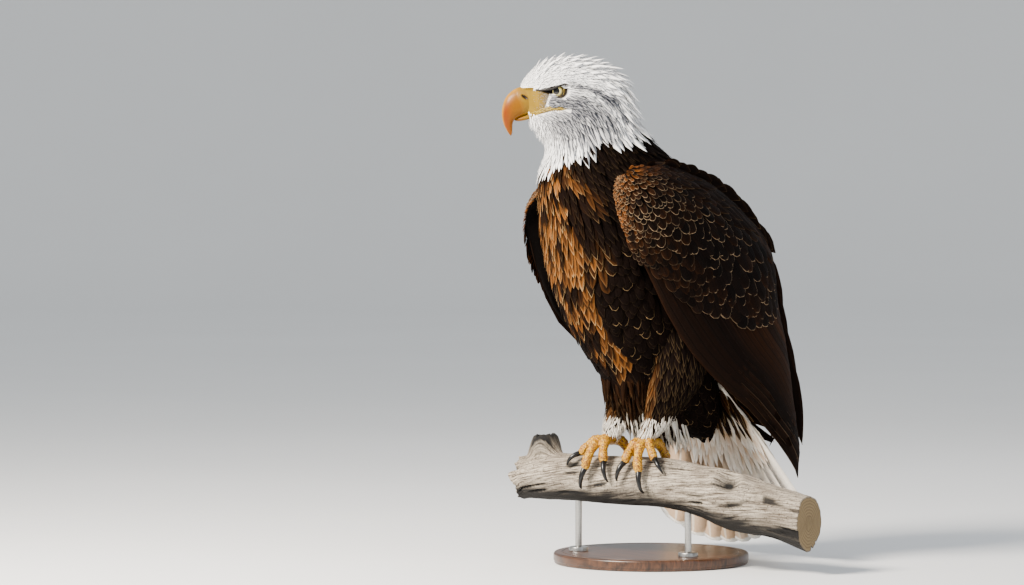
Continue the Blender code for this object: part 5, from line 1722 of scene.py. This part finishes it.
def tail_coverts():
    """White coverts over the tail's root, behind and below, mixed with brown at the vent."""
    random, white, brown = np.random.default_rng(121), Coat(), Coat()
    low = 0.1
    # painted golden shading: strong on the coverts under the tail, weak over it
    for ground, high, gold, seed in ((TAIL_BACK, 0.215, 0.3, 122), (TAIL_FRONT, 0.2, 0.9, 123)):
        roots = scatter(ground, (TAIL_SPREAD[0] * 0.96, low), (TAIL_SPREAD[1] * 0.96, high), even(8.0), seed)
        slope = ground.frame(roots)[3]
        is_brown = random.random(len(roots)) < smooth(-roots[:, 1], -low - 0.055, -low - 0.02)
        for coat, chosen, warm in ((white, ~is_brown, gold), (brown, is_brown, 0.3)):
            some = chosen.sum()
            lay(coat, ground, roots[chosen], spread_lengths(random, some, 52 * MM, 0.15), 14 * MM, blunt,
                random, rows=8, heading=unit(slope[chosen]), sweep=0.08, crown=0.2, ragged=0.07,
                lift=(2.0 * MM, (4.5 + 2.5 * random.random(some)) * MM), pale=0.5,
                warm=warm * random.random(some))
    return white, brown


# ---------------------------------------------------------------- the model put together

BILL_HORN, TALON_HORN, GLASS_EYE = bill_horn(), talon_horn(), glass_eye()
WEATHERED_WOOD, OILED_WALNUT, BRUSHED_STEEL = weathered_wood(), oiled_walnut(), brushed_steel()


def build_bird():
    skin, parts = build_skin(), [face_shell(), *(foot("foot_form", side) for _, side in SIDES)]
    for _, side in SIDES:
        parts += eyelids(side) + gape(side)
    join_into(skin, parts)
    dress(skin, "foot_scale", "head", "neck", "trunk", "wing_left", "wing_right", "tail", "leg_left",
          "leg_right", "foot_left", "foot_right")
    dress(bill_half("bill_upper", UPPER_BILL, 90, 72), "bill_horn", "bill_upper")
    dress(bill_half("bill_lower", LOWER_BILL, 40, 48), "bill_horn", "bill_lower")
    for label, side in SIDES:
        dress(eyeball(f"eye_{label}", side), "eye_glass", f"eye_{label}")
        for kind in TOES:
            node = f"talon_{label}_{kind}"
            dress(talon(node, side, kind), "talon_horn", node)


def hang(name, coat, slot):
    """A tract of the coat, in the plumage of its slot."""
    dress(coat.build(name, PLUMAGE[slot]), slot)


def build_coat():
    hang("feathers_head", head_coat(), "white_plumage")
    hang("feathers_crest", crest_coat(), "white_plumage")
    hang("bristles_lore", bristles(), "white_plumage")
    hang("feathers_hackles", hackle_coat(), "white_plumage")
    for name, coat in zip(("feathers_breast_and_mantle", "feathers_belly_and_back"), body_coat(wing_trees())):
        hang(name, coat, "brown_plumage")
    for label, side in SIDES:
        hang(f"coverts_{label}", covert_coat(side), "wing_plumage")
        hang(f"greater_coverts_{label}", greater_coat(side), "wing_plumage")
        hang(f"flight_feathers_{label}", flight_coat(side), "wing_plumage")
        hang(f"scapulars_{label}", scapular_coat(side), "brown_plumage")
        brown, white = trouser_coat(side)
        hang(f"trousers_{label}", brown, "brown_plumage")
        hang(f"leg_tufts_{label}", white, "tail_plumage")
    hang("tail_feathers", tail_coat(), "tail_plumage")
    white, brown = tail_coverts()
    hang("tail_coverts", white, "tail_plumage")
    hang("vent_feathers", brown, "brown_plumage")
    dark, pale = hanging_fluff()
    hang("belly_fluff", dark, "brown_plumage")
    hang("vent_down", pale, "tail_plumage")


def build_stand():
    dress(branch(), "dead_wood", "perch_branch")
    dress(turned_base(), "stand_wood", "stand_base")
    for number in (1, 2):
        dress(rod(number), "stand_steel", f"stand_rod_{number}")


# ---------------------------------------------------------------- the studio


def studio():
    """A pale round floor that curves up to a low wall, so that every side has the same plain ground."""
    flat, curve = 11.0, 3.0
    profile = [(0.0, 0.0), (2.0, 0.0), (6.0, 0.0), (flat, 0.0)]
    profile += [(flat + curve * math.sin(a), curve - curve * math.cos(a))
                for a in np.linspace(0, math.pi / 2, 15)[1:]]
    profile += [(flat + curve, 7.0)]
    paint, tree = start_material("matt_studio_paint", {"Roughness": 0.95})
    spot = add(tree, "TexCoord", output="Object")
    cloud = add(tree, "TexNoise", {"Vector": spot, "Scale": 1.2})
    close_material(paint, add(tree, "Mix", {0: cloud, A: "#E9EAEA", B: "#EFF0F0"}, **COLOURS))
    rings = turned_rings(profile, 96)
    floor = mesh_object("studio_floor", rings.reshape(-1, 3), quads(*rings.shape[:2]), paint)
    floor.location.z = CAD_LOW.z - 0.0005


CAMERA_TURN, CAMERA_RISE, CAMERA_DISTANCE = math.radians(55), math.radians(2), 7.0
LENS, TARGET_RIGHT, TARGET_UP = 151.0, -0.183, 0.266  # where the camera looks, from the perch point


def look_at(made, target):
    made.rotation_mode = "QUATERNION"
    made.rotation_quaternion = (Vector(target) - made.location).to_track_quat("-Z", "Y")


def camera_and_lights():
    right = np.array((math.cos(CAMERA_TURN), math.sin(CAMERA_TURN), 0.0))
    level = math.cos(CAMERA_RISE)
    back = np.array((math.sin(CAMERA_TURN) * level, -math.cos(CAMERA_TURN) * level, math.sin(CAMERA_RISE)))
    target = PERCH + right * TARGET_RIGHT + (0, 0, TARGET_UP)
    lens = bpy.data.cameras.new("camera")
    lens.sensor_width, lens.lens, lens.clip_end = 36.0, LENS, 60.0
    camera = placed("camera", lens)
    camera.location = Vector(target + back * CAMERA_DISTANCE)
    look_at(camera, target)
    bpy.context.scene.camera = camera
    for name, place, power, size, tint in (
            ("key", -right * 1.7 + back * 1.3 + (0, 0, 1.5), 275.0, 0.8, "#FFF5E8"),
            ("fill", right * 2.0 + back * 1.6 + (0, 0, 0.7), 12.0, 1.8, "#E4ECFF"),
            ("back", right * 1.0 - back * 2.0 + (0, 0, 1.7), 9.0, 1.0, "#F2F5FF")):
        light = bpy.data.lights.new(name, "AREA")
        light.energy, light.size, light.color = power, size, linear(tint)[:3]
        made = placed(name, light)
        made.location = Vector(PERCH + (0, 0, 0.3) + place)
        made.visible_camera = False
        look_at(made, PERCH + (0, 0, 0.3))
    world = bpy.data.worlds.new("studio_air")
    world.use_nodes = True
    air = world.node_tree.nodes["Background"]
    air.inputs["Color"].default_value, air.inputs["Strength"].default_value = linear("#E6EAEE"), 0.9
    bpy.context.scene.world = world


build_bird()
build_coat()
build_stand()
studio()
camera_and_lights()
